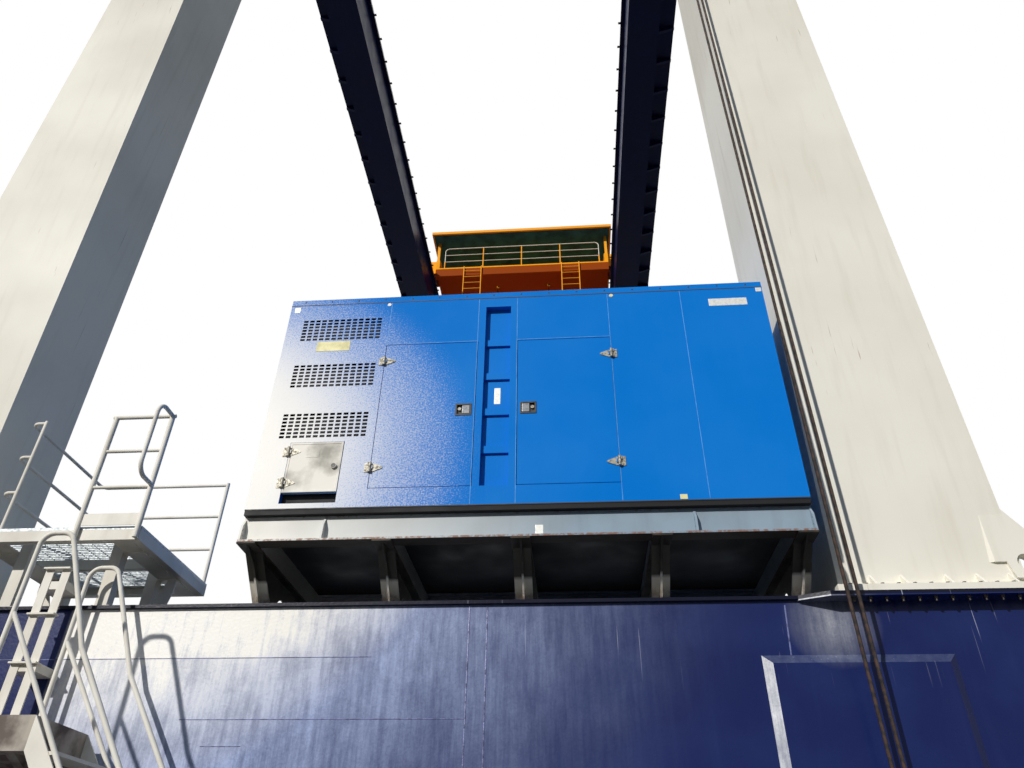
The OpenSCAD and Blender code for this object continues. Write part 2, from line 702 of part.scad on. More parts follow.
// Flared brackets on the sill beam: an upright plate with an arch cut in it,
// sloping flanges behind its edges, a gusset at each end and a cap plate.
module support_brackets() {
    y0 = -(sill_face + 15);
    y1 = -sill_face + sill_w + 15;
    rib = 217;
    flange = 20;
    color("lightgray")
    for (i = [0 : bracket_n - 1]) {
        x = bracket_x(i);
        difference() {
            prism_x([[gen_y0 + 35, cap_z0], [gen_y0 + rib, cap_z0 - 90], [y0, sill_top], [y1, sill_top],
                     [gen_y1 - rib, cap_z0 - 90], [gen_y1 - 35, cap_z0]],
                    x - bracket_t / 2, x + bracket_t / 2);
            translate([x - 20, gen_mid_y, sill_top + arch_h - arch_w / 2]) rotate([0, 90, 0])
                cylinder(h = 40, r = arch_w / 2);
            block([x - 20, gen_mid_y - arch_w / 2, sill_top - 10],
                  [x + 20, gen_mid_y + arch_w / 2, sill_top + arch_h - arch_w / 2]);
        }
        prism_x([[gen_y0 + 175, cap_z0], [y0 + 80, sill_top], [y0 + 80 + flange, sill_top],
                 [gen_y0 + 175 + flange, cap_z0]], x - bracket_w / 2, x + bracket_w / 2);
        prism_x([[gen_y1 - 175, cap_z0], [gen_y1 - 175 - flange, cap_z0], [y1 - 80 - flange, sill_top],
                 [y1 - 80, sill_top]], x - bracket_w / 2, x + bracket_w / 2);
        block([x - cap_w / 2, beam_flange_y + 2, cap_z0],
              [x + cap_w / 2, 2 * gen_mid_y - beam_flange_y - 2, beam_z0]);
    }
}

module gen_skid() color("dimgray")
    block([gen_x0 + skid_back, gen_y0 + skid_back, beam_z1],
          [gen_x1 - skid_back, gen_y1 - skid_back, gen_z0]);

// Housing: floor, end walls and rear wall, open to the front and the top.
module gen_shell() color("royalblue") difference() {
    block([gen_x0, gen_y0 + gen_wall, gen_z0], [gen_x1, gen_y1, gen_z1]);
    block([gen_x0 + gen_wall, gen_y0 - 10, gen_z0 + gen_wall],
          [gen_x1 - gen_wall, gen_y1 - gen_wall, gen_z1 + 10]);
}

module gen_roof() color("royalblue") {
    block([gen_x0, gen_y0, gen_z1], [gen_x1, gen_y1, gen_z1 + gen_trim]);
}

// Front wall left of the doors, cut for the grilles and the service hatch.
module gen_grille_wall() color("royalblue") difference() {
    block([gen_x0, gen_y0, gen_z0], [gen_x0 + door_l_at - door_gap, gen_y0 + gen_wall, gen_z1]);
    for (i = [0 : 2])
        block([gen_x0 + grille_at, gen_y0 - 10, gen_z0 + grille_z + i * grille_pitch],
              [gen_x0 + grille_at + grille_w, gen_y0 + gen_wall + 10,
               gen_z0 + grille_z + i * grille_pitch + grille_h]);
    block([gen_x0 + hatch_at - door_gap, gen_y0 - 10, gen_z0 + hatch_z - hatch_slot],
          [gen_x0 + hatch_at + hatch_w + door_gap, gen_y0 + gen_wall + 10,
           gen_z0 + hatch_z + hatch_h + door_gap]);
}

// Front wall between the doors, with the recess for the climbing rungs.
module gen_ladder_wall() color("royalblue") difference() {
    union() {
        block([gen_x0 + door_l_at + door_l_w + door_gap, gen_y0, gen_z0],
              [gen_x0 + door_r_at - door_gap, gen_y0 + gen_wall, gen_z1]);
        block([recess_x0 - recess_t, gen_y0, recess_z0 - recess_t],
              [recess_x0 + recess_w + recess_t, gen_y0 + recess_d + recess_t,
               recess_z0 + recess_h + recess_t]);
    }
    block([recess_x0, gen_y0 - 10, recess_z0],
          [recess_x0 + recess_w, gen_y0 + recess_d, recess_z0 + recess_h]);
}

module gen_right_wall() color("royalblue")
    block([gen_x0 + door_r_at + door_r_w + door_gap, gen_y0, gen_z0],
          [gen_x1, gen_y0 + gen_wall, gen_z1]);

// Fixed panels above and below the doors.
module gen_header() color("royalblue")
    for (d = [[door_l_at, door_l_w], [door_r_at, door_r_w]]) {
        x0 = gen_x0 + d[0] - door_gap;
        x1 = gen_x0 + d[0] + d[1] + door_gap;
        block([x0, gen_y0, door_z1 + door_gap], [x1, gen_y0 + gen_wall, gen_z1]);
        block([x0, gen_y0, gen_z0], [x1, gen_y0 + gen_wall, door_z0 - door_gap]);
    }

// Air grilles, punched flush with the wall: the bars between the rows and
// columns of oblong holes.
module gen_grilles() {
    hole_w = (grille_w - (grille_cols - 1) * grille_bar) / grille_cols;
    hole_h = (grille_h - (grille_rows - 1) * grille_rib) / grille_rows;
    color("royalblue") for (i = [0 : 2]) {
        x0 = gen_x0 + grille_at;
        z0 = gen_z0 + grille_z + i * grille_pitch;
        for (c = [1 : grille_cols - 1]) {
            x = x0 + c * (hole_w + grille_bar);
            block([x - grille_bar, gen_y0, z0], [x, gen_y0 + 6, z0 + grille_h]);
        }
        for (r = [1 : grille_rows - 1]) {
            z = z0 + r * (hole_h + grille_rib);
            block([x0, gen_y0, z - grille_rib], [x0 + grille_w, gen_y0 + 6, z]);
        }
    }
}

module gen_rungs() color("royalblue")
    for (i = [0 : recess_rungs - 1]) {
        z = recess_z0 + recess_rung_up + i * recess_pitch;
        block([recess_x0, gen_y0 + 4, z], [recess_x0 + recess_w, gen_y0 + 54, z + recess_rung_h]);
    }

// Fixed halves of the door hinges: a leaf and two knuckles on a pin.
module hinge_fixed(x, z, side) {
    y = gen_y0 - pin_out;
    block([side > 0 ? x + 4 : x - 46, gen_y0 - 5, z - 39], [side > 0 ? x + 46 : x - 4, gen_y0, z + 39]);
    for (k = [-39, 14]) translate([x, y, z + k]) cylinder(h = 25, r = 11);
    translate([x, y, z - 39]) cylinder(h = 78, r = 5);
    for (k = [-39, 14])
        block([side > 0 ? x : x - 20, y, z + k], [side > 0 ? x + 20 : x, gen_y0, z + k + 25]);
}

// Moving half of a hinge: a knuckle and a pointed strap along the door.
module hinge_moving(x, z, side) {
    y = gen_y0 - pin_out;
    root = 4 + door_gap;
    difference() {
        union() {
            translate([x, y, z - 13]) cylinder(h = 26, r = 11);
            block([side > 0 ? x - 20 : x, y, z - 13], [side > 0 ? x : x + 20, gen_y0, z + 13]);
        }
        translate([x, y, z - 60]) cylinder(h = 120, r = 5.3);
    }
    translate([x, 0, z]) mirror([side > 0 ? 1 : 0, 0, 0])
        prism_y([[root, -34], [root + 14, -34], [strap_l - 12, -11], [strap_l, -4],
                 [strap_l, 4], [strap_l - 12, 11], [root + 14, 34], [root, 34]],
                gen_y0 - 5, gen_y0);
}
hinge_z = [door_z0 + 170, door_z1 - 170];
hinge_l_x = gen_x0 + door_l_at - door_gap / 2;
hinge_r_x = gen_x0 + door_r_at + door_r_w + door_gap / 2;
hatch_pin_x = gen_x0 + hatch_at - door_gap / 2;

module gen_hinges() color("silver") {
    for (z = hinge_z) {
        hinge_fixed(hinge_l_x, z, -1);
        hinge_fixed(hinge_r_x, z, 1);
    }
    for (z = [gen_z0 + hatch_z + 80, gen_z0 + hatch_z + hatch_h - 80]) hinge_fixed(hatch_pin_x, z, -1);
}

// A housing door with its hinge straps and its latch: a black pan with a raised
// rim, a pull handle and the lock beside it.
module door(at, w, side, latch_x) {
    x0 = gen_x0 + at;
    rim = 6;
    pan = 20;
    color("royalblue") difference() {
        block([x0, gen_y0, door_z0], [x0 + w, gen_y0 + door_t, door_z1]);
        block([latch_x - latch_w / 2 + rim, gen_y0 - 10, latch_z - latch_h / 2 + rim],
              [latch_x + latch_w / 2 - rim, gen_y0 + pan, latch_z + latch_h / 2 - rim]);
    }
    translate([latch_x, gen_y0, latch_z]) color("black") {
        difference() {
            block([-latch_w / 2, -4, -latch_h / 2], [latch_w / 2, pan, latch_h / 2]);
            block([-latch_w / 2 + 2 * rim, -5, -latch_h / 2 + 2 * rim],
                  [latch_w / 2 - 2 * rim, pan - 4, latch_h / 2 - 2 * rim]);
        }
        block([-side * 20 - 28, 0, -36], [-side * 20 + 28, pan - 3, 40]);
        translate([side * 32, pan - 3, 8]) rotate([90, 0, 0]) cylinder(h = pan - 5, r = 14);
    }
    for (z = hinge_z) color("silver") hinge_moving(side < 0 ? hinge_l_x : hinge_r_x, z, side);
}

module hatch() color("lightgray") {
    x0 = gen_x0 + hatch_at;
    z0 = gen_z0 + hatch_z;
    block([x0, gen_y0 - 2, z0], [x0 + hatch_w, gen_y0 + 30, z0 + hatch_h]);
    translate([x0 + hatch_w - 50, gen_y0 + 2, z0 + hatch_h / 2]) rotate([90, 0, 0]) cylinder(h = 20, r = 22);
    for (z = [z0 + 80, z0 + hatch_h - 80]) hinge_moving(hatch_pin_x, z, -1);
}

// Platform: a welded channel frame with wide slotted bottom plates at the sides
// and a cross beam under the grating.
module platform_frame() color("ivory") {
    t = plat_frame_t;
    slots = 12;
    pitch = (plat_d - 150) / slots;
    difference() {
        block([plat_x0, plat_y0, plat_z0], [plat_x1, plat_y1, plat_z1]);
        block([plat_x0 + t, plat_y0 + t, plat_z0 + t], [plat_x1 - t, plat_y1 - t, plat_z1 - t]);
        block([plat_x0 + plat_side_w, plat_y0 + plat_flange, plat_z0 - 10],
              [plat_x1 - plat_side_w, plat_y1 - plat_flange, plat_z0 + t + 10]);
        block([plat_x0 + plat_flange, plat_y0 + plat_flange, plat_z1 - t - 10],
              [plat_x1 - plat_flange, plat_y1 - plat_flange, plat_z1 + 10]);
        for (i = [0 : slots - 1])
            block([plat_x1 - 75, plat_y0 + 75 + i * pitch, plat_z0 - 10],
                  [plat_x1 - 65, plat_y0 + 45 + (i + 1) * pitch, plat_z0 + t + 10]);
    }
    block([plat_x0 + t - eps, plat_y0 + plat_beam_at, plat_z0],
          [plat_x1 - t + eps, plat_y0 + plat_beam_at + 50, plat_z1]);
}

module platform_floor() color("lightgray")
    block([plat_x0, plat_y0, plat_z1], [plat_x1, plat_y1, plat_floor_z]);

// Posts of the platform, each with a foot plate and a shelf under the frame, and
// a slanting brace at the two rear ones.
module platform_posts() color("ivory") {
    w = plat_post_w;
    foot = 25;
    shelf = 170;
    for (m = [0, 1], y = plat_post_y)
        translate([m * (plat_x0 + plat_x1), 0, 0]) mirror([m, 0, 0]) translate([plat_post_x, y, 0]) {
            block([0, 0, sill_top], [w, plat_post_d, plat_z1]);
            block([-foot, 0, sill_top], [w + foot, plat_post_d + foot, sill_top + cap_t]);
            block([w - eps, 0, plat_z0 - cap_t], [w + shelf, plat_post_d, plat_z0]);
            if (y == plat_post_y[1])
                prism_y([[w - eps, sill_top + 50], [w + 45, sill_top + cap_t], [w + 90, sill_top + cap_t],
                         [w + shelf, plat_z0 - cap_t - 90], [w + shelf, plat_z0 - cap_t],
                         [w + 100, plat_z0 - cap_t], [w - eps, sill_top + 170]], 0, 12);
        }
}

// Tubular railings of the platform: at the front a short length with a loop
// beside it, and three rails bent round the left side and the back.
module platform_rails() {
    z = plat_floor_z;
    h = plat_rail_h;
    yf = plat_y0 - post_r;
    xr = plat_x1 - post_r;
    xl = xr - plat_gate_l;
    xs = plat_x0 + 30;
    ys = plat_y0 + 32;
    yb = plat_y1 - 20;
    xe = plat_x1 - 27;
    color("ivory") {
        for (x = [xl, xr]) {
            rod([x, yf, plat_z0 + 8], [x, yf, z + h], post_r);
            block([x - 12, yf, plat_z0 + 15], [x + 12, plat_y0, plat_z0 + 70]);
        }
        rod([xl - post_r - 4, yf, z + h], [xr + post_r + 4, yf, z + h], tube_r);
        for (k = [h / 3, h * 2 / 3]) rod([xl, yf, z + k], [xr, yf, z + k], knee_r);
        block([xl, yf - 3, z], [xr, yf + 3, z + toe_h]);
        tube([[xr, yf, z + h], [xr, yf - hoop_out, z + h], [xr, yf - hoop_out, z + h - hoop_h],
              [xr, yf, z + h - hoop_h]], tube_r, 100);
        for (k = [h / 3, h * 2 / 3, h])
            tube([[xe, yb, z + k], [xs, yb, z + k], [xs, ys, z + k], [xs + 122, ys, z + k]],
                 knee_r, 60);
        for (p = [[xs + 122, ys], [xe, yb]]) rod([p.x, p.y, z], [p.x, p.y, z + h + 20], tube_r);
    }
}

// Landing at the top of the stair, carried by brackets on the sill beam.
module landing() color("ivory") {
    x0 = stair_x0 - landing_l;
    edge = landing_z - landing_h;
    block([x0, stair_y0, edge], [stair_x0, stair_y1, landing_z]);
    for (x = [x0 + 100, stair_x0 - 160]) {
        prism_x([[stair_y0 + 60, edge], [-sill_face, edge], [-sill_face, edge - 300]], x, x + 60);
        block([x, stair_y1 - 10, edge], [x + 60, -sill_face, landing_z - 20]);
    }
}

// Narrow ladder from the landing to the platform: flat sides, plate rungs that
// stand out before and behind them, and a plate on top.
module ladder() {
    x = -2310;
    y = -(sill_face + 200);
    top = plat_z0 - ladder_low;
    half = ladder_w / 2 + stile_w / 2;
    color("ivory") {
        for (s = [-1, 1])
            block([x + s * ladder_w / 2 - stile_w / 2, y - 5, landing_z],
                  [x + s * ladder_w / 2 + stile_w / 2, y + 5, top]);
        for (z = [top : -rung_pitch : landing_z + 150])
            block([x - half - 5, y - 35, z - 12], [x + half + 5, y + 30, z]);
        for (z = [landing_z + 400, top - 160])
            block([x - half, y, z], [x + half, -sill_face, z + 60]);
    }
}

// Stair from the ground to the landing: two stringers and flat treads.
module stair() {
    n = floor(landing_z / step_rise);
    rise = landing_z / (n + 1);
    run = rise / tan(stair_slope);
    x_end = stair_x0 + (n + 1) * run;
    color("ivory") {
        for (y = [stair_y0, stair_y1 - 12])
            prism_y([[stair_x0, landing_z], [stair_x0, landing_z - landing_h], [x_end - 150, 0],
                     [x_end + 30, 0]], y, y + 12);
        for (i = [1 : n])
            block([stair_x0 + i * run - 120, stair_y0 + 5, landing_z - i * rise - 20],
                  [stair_x0 + i * run + 60, stair_y1 - 5, landing_z - i * rise]);
    }
}

// Two stair handrails: each rises from the landing in a narrow arch and runs
// down along the stringer, with a knee rail under it.
module stair_rails() {
    x_foot = stair_x0 + stair_run - 346;
    knee = 550;
    color("ivory") for (y = [stair_y0 - tube_r, stair_y1 + tube_r]) {
        tube([[arch_x, y, landing_z - 110], [arch_x, y, arch_z], [arch_x + 210, y, arch_z],
              [arch_x + knee, y, arch_z - knee - 240], [x_foot, y, 950], [x_foot, y, 150]], tube_r, 90);
        rod([arch_x, y, arch_z - knee], [x_foot, y, 500], tube_r * 0.9);
    }
}

// Trolley: a floor slab with slots for the ropes between two side beams, with end
// beams under it and four wheel housings over the rails, open below.
module trolley_frame() color("orange") {
    z0 = trolley_floor_z;
    end_w = 200;
    case_t = 40;
    half = trolley_flange_r + wheel_room;
    z_side = rail_top + 2 * trolley_wheel_r - 60;
    z_case = axle_up + half + case_t;
    difference() {
        block([-trolley_x, trolley_y0, z0], [trolley_x, trolley_y1, z0 + trolley_floor_t]);
        both_x() for (f = falls)
            translate([f.x, f.y - rope_bend, z0]) block([-50, -70, -10], [50, 70, trolley_floor_t + 10]);
    }
    for (y = [trolley_y0, trolley_y1 - end_w])
        block([-trolley_x, y, z0 - trolley_end_h], [trolley_x, y + end_w, z0]);
    both_x() block([trolley_x - trolley_beam_w, trolley_y0, z0], [trolley_x, trolley_y1, z_side]);
    both_x() for (y = trolley_wheel_y) difference() {
        block([trolley_x - trolley_beam_w, y - half - case_t, z0],
              [rail_x + 150, y + half + case_t, z_case]);
        block([trolley_x, y - half, z0 - 10], [rail_x + 110, y + half, z_case - case_t]);
        translate([0, y, axle_up]) rotate([0, 90, 0]) cylinder(h = 2 * rail_x, r = 50.3);
    }
}

module trolley_wheels() color("firebrick") both_x()
    for (y = trolley_wheel_y) translate([rail_x, y, axle_up]) rotate([0, 90, 0]) {
        cylinder(h = 90, r = trolley_wheel_r, center = true);
        translate([0, 0, -60]) cylinder(h = 22, r = trolley_flange_r);
        translate([0, 0, -80]) cylinder(h = 260, r = 50);
    }

module trolley_roof() color("orange") {
    z = trolley_floor_z + trolley_roof_up;
    block([-trolley_roof_x, trolley_y0 - trolley_eave, z],
          [trolley_roof_x, trolley_y1 + trolley_eave / 2, z + trolley_roof_t]);
}

module trolley_posts() color("orange") {
    z = rail_top + 2 * trolley_wheel_r - 60;
    both_x() for (y = [trolley_y0 + 80, trolley_y - trolley_post_w / 2, trolley_y1 - 80 - trolley_post_w])
        block([trolley_post_x, y, z], [trolley_x, y + trolley_post_w, trolley_floor_z + trolley_roof_up]);
}

// Railing along the trolley's front edge: one tube bent down at both ends,
// three posts and two lower rails.
module trolley_rails_front() {
    z = trolley_floor_z + 60;
    y = trolley_y0 + 40;
    x = trolley_front_x;
    gaps = 4;
    color("orange") {
        tube([[-x, y, z], [-x, y, z + rail_height], [x, y, z + rail_height], [x, y, z]], tube_r, 160);
        for (i = [1 : gaps - 1])
            rod([(2 * i / gaps - 1) * x, y, z], [(2 * i / gaps - 1) * x, y, z + rail_height], tube_r);
        for (h = [1 / 3, 2 / 3])
            rod([-x, y, z + rail_height * h], [x, y, z + rail_height * h], knee_r);
    }
}

// Two ladders that hang in front of the trolley's end beam.
module trolley_ladders() color("orange") both_x() {
    x = trolley_ladder_x;
    y = trolley_y0 - 60;
    half = trolley_ladder_w / 2;
    for (s = [-1, 1]) {
        xs = x + s * half;
        rod([xs, y, trolley_floor_z - trolley_ladder_l], [xs, y, trolley_floor_z + 30], 20);
        block([xs - 15, y, trolley_floor_z - 100], [xs + 15, trolley_y0, trolley_floor_z - 60]);
    }
    for (z = [trolley_floor_z - trolley_ladder_l + 100 : trolley_rung : trolley_floor_z])
        rod([x - half, y, z], [x + half, y, z], 14);
}

// Rope drum of the hoist: a plain barrel between two flanges, on a shaft along X.
module hoist_drum() color("dimgray")
    translate([-drum_l / 2, drum_y, drum_z]) rotate([0, 90, 0]) {
        cylinder(h = drum_l, r = drum_r);
        for (x = [0, drum_l - 30]) translate([0, 0, x]) cylinder(h = 30, r = drum_r + drum_flange);
        translate([0, 0, -330]) cylinder(h = drum_l + 330 + drum_to_gear, r = 70);
    }

// Bearing pedestals of the drum, and the stands of the four upper sheaves.
module hoist_stands() color("orange") both_x() {
    foot = 300;
    shaft = 70.3;
    axle = 40.3;
    cheek = sheave_w / 2 + 12;
    x = drum_l / 2 + 120;
    difference() {
        prism_x([[drum_y - foot, hoist_floor], [drum_y + foot, hoist_floor],
                 [drum_y + foot / 2, drum_z + 130], [drum_y - foot / 2, drum_z + 130]], x, x + 90);
        translate([x - 10, drum_y, drum_z]) rotate([0, 90, 0]) cylinder(h = 110, r = shaft);
    }
    for (f = falls) difference() {
        for (s = [0, 1]) mirror_at(f.x, s)
            prism_x([[f.y - 60, hoist_floor], [f.y + 190, hoist_floor], [f.y + 190, hoist_floor + 200],
                     [f.y + 60, sheave_up + 60], [f.y - 60, sheave_up + 60]],
                    f.x + cheek, f.x + cheek + 20);
        translate([f.x - 100, f.y, sheave_up]) rotate([0, 90, 0]) cylinder(h = 200, r = axle);
    }
}
module mirror_at(x, s) translate([2 * x * s, 0, 0]) mirror([s, 0, 0]) children();

// The four upper sheaves: grooved wheels on their axles.
module sheave(axle_l) {
    rim = sheave_w / 2;
    rotate_extrude() polygon([[0, -rim], [sheave_r + 22, -rim], [sheave_r + 22, -rim + 10],
                              [sheave_r, -hoist_rope_r - 2], [sheave_r, hoist_rope_r + 2],
                              [sheave_r + 22, rim - 10], [sheave_r + 22, rim], [0, rim]]);
    cylinder(h = axle_l, r = 40, center = true);
}
module hoist_sheaves() color("dimgray") both_x()
    for (f = falls) translate([f.x, f.y, sheave_up]) rotate([0, 90, 0]) sheave(150);

// Gearbox, brake and motor at one end of the drum, on a common foot.
module hoist_drive() color("gainsboro") {
    x = drum_l / 2 + drum_to_gear + 0.3;
    gear_w = 320;
    motor_y = drum_y - 640;
    motor_r = 190;
    prism_y([[x, hoist_floor], [x + gear_w, hoist_floor], [x + gear_w, drum_z + 190],
             [x + gear_w - 60, drum_z + 250], [x + 60, drum_z + 250], [x, drum_z + 190]],
            drum_y - 820, drum_y + 280);
    translate([x + gear_w - eps, motor_y, drum_z]) rotate([0, 90, 0]) {
        cylinder(h = 320, r = 90);
        translate([0, 0, 120]) cylinder(h = 60, r = motor_r + 20);
        translate([0, 0, 300]) cylinder(h = 700, r = motor_r);
    }
    block([x + gear_w + 400, motor_y - motor_r + 10, hoist_floor],
          [x + gear_w + 900, motor_y + motor_r - 10, drum_z - 60]);
}

// Hoist ropes: each runs off the drum, over its upper sheave, down round the
// headblock's sheave and up to a socket under the trolley's floor.
module hoist_ropes() color("saddlebrown") both_x() for (f = falls) {
    top = sheave_up + rope_bend;
    low = sheave_down - rope_bend;
    end = trolley_floor_z - 0.3;
    front = f.y - rope_bend;
    back = f.y + rope_bend;
    tube([[f.x, drum_y, top], [f.x, front, top], [f.x, front, low], [f.x, back, low],
          [f.x, back, end]], hoist_rope_r, rope_bend);
    translate([f.x, back, end - 220]) cylinder(h = 220, r = 38);
}

// Headblock: a box frame that carries the four lower sheaves between cheek plates.
module headblock() color("orange") {
    z0 = spreader_top + 0.3;
    half_x = fall_x + 180;
    half_y = fall_y + 180;
    cheek = sheave_w / 2 + 12;
    difference() {
        block([-half_x, hoist_y - half_y, z0], [half_x, hoist_y + half_y, z0 + headblock_h]);
        block([-half_x + 450, hoist_y - half_y + 260, z0 - 10],
              [half_x - 450, hoist_y + half_y - 260, z0 + headblock_h + 10]);
    }
    both_x() for (f = falls) {
        for (s = [0, 1]) mirror_at(f.x, s)
            prism_x([[f.y - 170, z0 + headblock_h - 10], [f.y + 170, z0 + headblock_h - 10],
                     [f.y + 80, sheave_down + 90], [f.y - 80, sheave_down + 90]],
                    f.x + cheek, f.x + cheek + 20);
        translate([f.x, f.y, sheave_down]) rotate([0, 90, 0]) sheave(170);
    }
}

// Spreader: two main beams with telescopic arms, end beams with a lock pin at each
// corner, and cross beams in the middle.
module spreader() color("orange") {
    z0 = spreader_top - spreader_h;
    arm_x = spreader_l / 2 - corner_w;
    both_x() {
        for (s = [-1, 1]) {
            y = hoist_y + s * 300;
            block([-eps, y - spreader_beam / 2, z0], [2200, y + spreader_beam / 2, spreader_top]);
            block([2190, y - spreader_beam / 2 + 30, z0 + 60],
                  [arm_x + 10, y + spreader_beam / 2 - 30, spreader_top - 60]);
        }
        for (x = [-eps, fall_x - 60, 2060])
            block([x, hoist_y - 300, z0 + 40], [x + 140, hoist_y + 300, spreader_top - 20]);
        prism_x([[hoist_y - spreader_w / 2, z0 - 40], [hoist_y + spreader_w / 2, z0 - 40],
                 [hoist_y + spreader_w / 2, z0 + 120], [hoist_y + 700, z0 + end_beam_h],
                 [hoist_y - 700, z0 + end_beam_h], [hoist_y - spreader_w / 2, z0 + 120]],
                arm_x, spreader_l / 2);
        for (s = [-1, 1])
            translate([spreader_l / 2 - corner_w / 2, hoist_y + s * (spreader_w / 2 - 90), spreader_z]) {
                cylinder(h = pin_h + 10, r = 28);
                cylinder(h = 50, r1 = 20, r2 = 50);
            }
    }
}

// Operator's cab: a closed body with a sloping lower front, sunk window openings,
// a raised door at the back, and a hanger frame up to the trolley.
module cab_windows(from, to, edge) {
    half = cab_w / 2;
    frame = 70 + edge;
    low = cab_z0 + cab_knee + 50 + edge;
    high = cab_z1 - 180 - edge;
    block([cab_x - half + frame, cab_y0 + from, low], [cab_x + half - frame, cab_y0 + to, high]);
    for (s = [0, 1]) mirror_at(cab_x, s)
        block([cab_x + half - to, cab_y0 + 20 + frame, low],
              [cab_x + half - from, cab_y0 + 1220 - frame, high]);
    translate([0, cab_y0, cab_z0 + cab_knee]) rotate([atan2(cab_slope, cab_knee), 0, 0])
        block([cab_x - half + frame, from, -880 + frame], [cab_x + half - frame, to, -10 - frame]);
}
module cab() color("ivory") {
    half = cab_w / 2;
    post = 90;
    back = cab_y0 + cab_d;
    difference() {
        prism_x([[cab_y0, cab_z1], [cab_y0, cab_z0 + cab_knee], [cab_y0 + cab_slope, cab_z0],
                 [back, cab_z0], [back, cab_z1]], cab_x - half, cab_x + half);
        cab_windows(-5, 2 * pane_t, 0);
    }
    block([cab_x - half - 40, cab_y0 - 90, cab_z1 - eps], [cab_x + half + 40, back + 40, cab_z1 + 60]);
    block([cab_x - 380, back - eps, cab_z0 + 60], [cab_x + 380, back + 25, cab_z1 - 120]);
    for (s = [-1, 1]) {
        x = cab_x + s * (half - 150);
        block([x - 50, cab_y0, cab_z1 + 60 - eps], [x + 50, back, cab_z1 + 180]);
        block([x - post / 2, cab_y0 + 20, cab_z1 + 180 - eps],
              [x + post / 2, cab_y0 + 20 + post, trolley_floor_z]);
        block([x - post / 2, trolley_y1 - 150, cab_z1 + 180 - eps],
              [x + post / 2, trolley_y1 - 150 + post, trolley_floor_z - trolley_end_h]);
    }
}

// Glass of the cab, sunk in its openings.
module cab_glass() color("darkslategray") cab_windows(pane_t, 2 * pane_t - 0.3, 0.3);

near() sill();  // sill_near
sill();  // sill_far
near() left() leg();  // leg_near_left
near() leg();  // leg_near_right
left() leg();  // leg_far_left
leg();  // leg_far_right
left() girder();  // girder_left
girder();  // girder_right
trolley_rails();
left() walkway();  // walkway_left
walkway();  // walkway_right
left() handrail();  // handrail_left
handrail();  // handrail_right
near() bogies();  // bogies_near
bogies();  // bogies_far
near() rims();  // rims_near
rims();  // rims_far
near() tyres();  // tyres_near
tyres();  // tyres_far
leg_ropes();
support_beams();
support_brackets();
gen_skid();
gen_shell();
gen_roof();
gen_grille_wall();
gen_ladder_wall();
gen_right_wall();
gen_header();
gen_grilles();
gen_rungs();
gen_hinges();
door(door_l_at, door_l_w, -1, gen_x0 + door_l_at + door_l_w - 88);  // door_left
door(door_r_at, door_r_w, 1, gen_x0 + door_r_at + 86);  // door_right
hatch();
platform_frame();
platform_floor();
platform_posts();
platform_rails();
landing();
ladder();
stair();
stair_rails();
trolley_frame();
trolley_wheels();
trolley_roof();
trolley_posts();
trolley_rails_front();
trolley_ladders();
hoist_drum();
hoist_stands();
hoist_sheaves();
hoist_drive();
hoist_ropes();
headblock();
spreader();
cab();
cab_glass();
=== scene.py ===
import math
import bmesh
import bpy
from mathutils import Matrix, Vector


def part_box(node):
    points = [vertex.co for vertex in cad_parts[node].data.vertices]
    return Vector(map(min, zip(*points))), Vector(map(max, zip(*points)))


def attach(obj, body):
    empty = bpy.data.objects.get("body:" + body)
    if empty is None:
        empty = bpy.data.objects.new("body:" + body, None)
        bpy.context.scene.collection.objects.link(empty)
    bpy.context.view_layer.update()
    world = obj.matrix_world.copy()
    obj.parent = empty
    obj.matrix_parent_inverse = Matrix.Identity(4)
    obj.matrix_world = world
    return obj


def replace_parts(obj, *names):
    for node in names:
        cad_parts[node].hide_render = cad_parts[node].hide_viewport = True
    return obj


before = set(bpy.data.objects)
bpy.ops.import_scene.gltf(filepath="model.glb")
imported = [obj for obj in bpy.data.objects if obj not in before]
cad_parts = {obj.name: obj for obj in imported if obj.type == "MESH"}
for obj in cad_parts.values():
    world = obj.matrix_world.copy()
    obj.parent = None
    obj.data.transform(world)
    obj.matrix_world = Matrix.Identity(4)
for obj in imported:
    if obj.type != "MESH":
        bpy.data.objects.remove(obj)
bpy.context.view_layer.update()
scene = bpy.context.scene
scene.view_settings.view_transform = "Standard"

# Viewpoint: eye height on the ground, about five metres in front of the near sill
# beam, looking up at the generator set through a phone's wide lens.
camera = bpy.data.objects.new("camera", bpy.data.cameras.new("camera"))
scene.collection.objects.link(camera)
scene.camera = camera
camera.data.lens, camera.data.sensor_width, camera.data.clip_end = 26.967, 36, 500
camera.matrix_world = (Matrix.Translation((1.535, -17.625, 1.6))
                       @ Matrix.Rotation(math.radians(4.908), 4, "Z")
                       @ Matrix.Rotation(math.radians(90 + 35.3), 4, "X")
                       @ Matrix.Rotation(math.radians(0.91), 4, "Z"))


# Light: one lamp from the upper left front, at the slope that the railings'
# shadows have, and a soft fill that is stronger from above than from the side.
def linear(code):
    """An sRGB colour such as 1b2b5e as the linear values that shaders take."""
    parts = [int(code[i:i + 2], 16) / 255 for i in (0, 2, 4)]
    return [c / 12.92 if c <= 0.04045 else ((c + 0.055) / 1.055) ** 2.4 for c in parts] + [1]


def put(tree, kind, given=(), **settings):
    """Adds a node with its settings; an input takes a value, a socket or a node's result."""
    node = tree.nodes.new(kind)
    for name, value in settings.items():
        setattr(node, name, value)
    for key, value in dict(given).items():
        if isinstance(value, bpy.types.Node):
            value = value.outputs[2 if value.bl_idname == "ShaderNodeMix" else 0]
        if isinstance(value, bpy.types.NodeSocket):
            tree.links.new(value, node.inputs[key])
        else:
            node.inputs[key].default_value = value
    return node


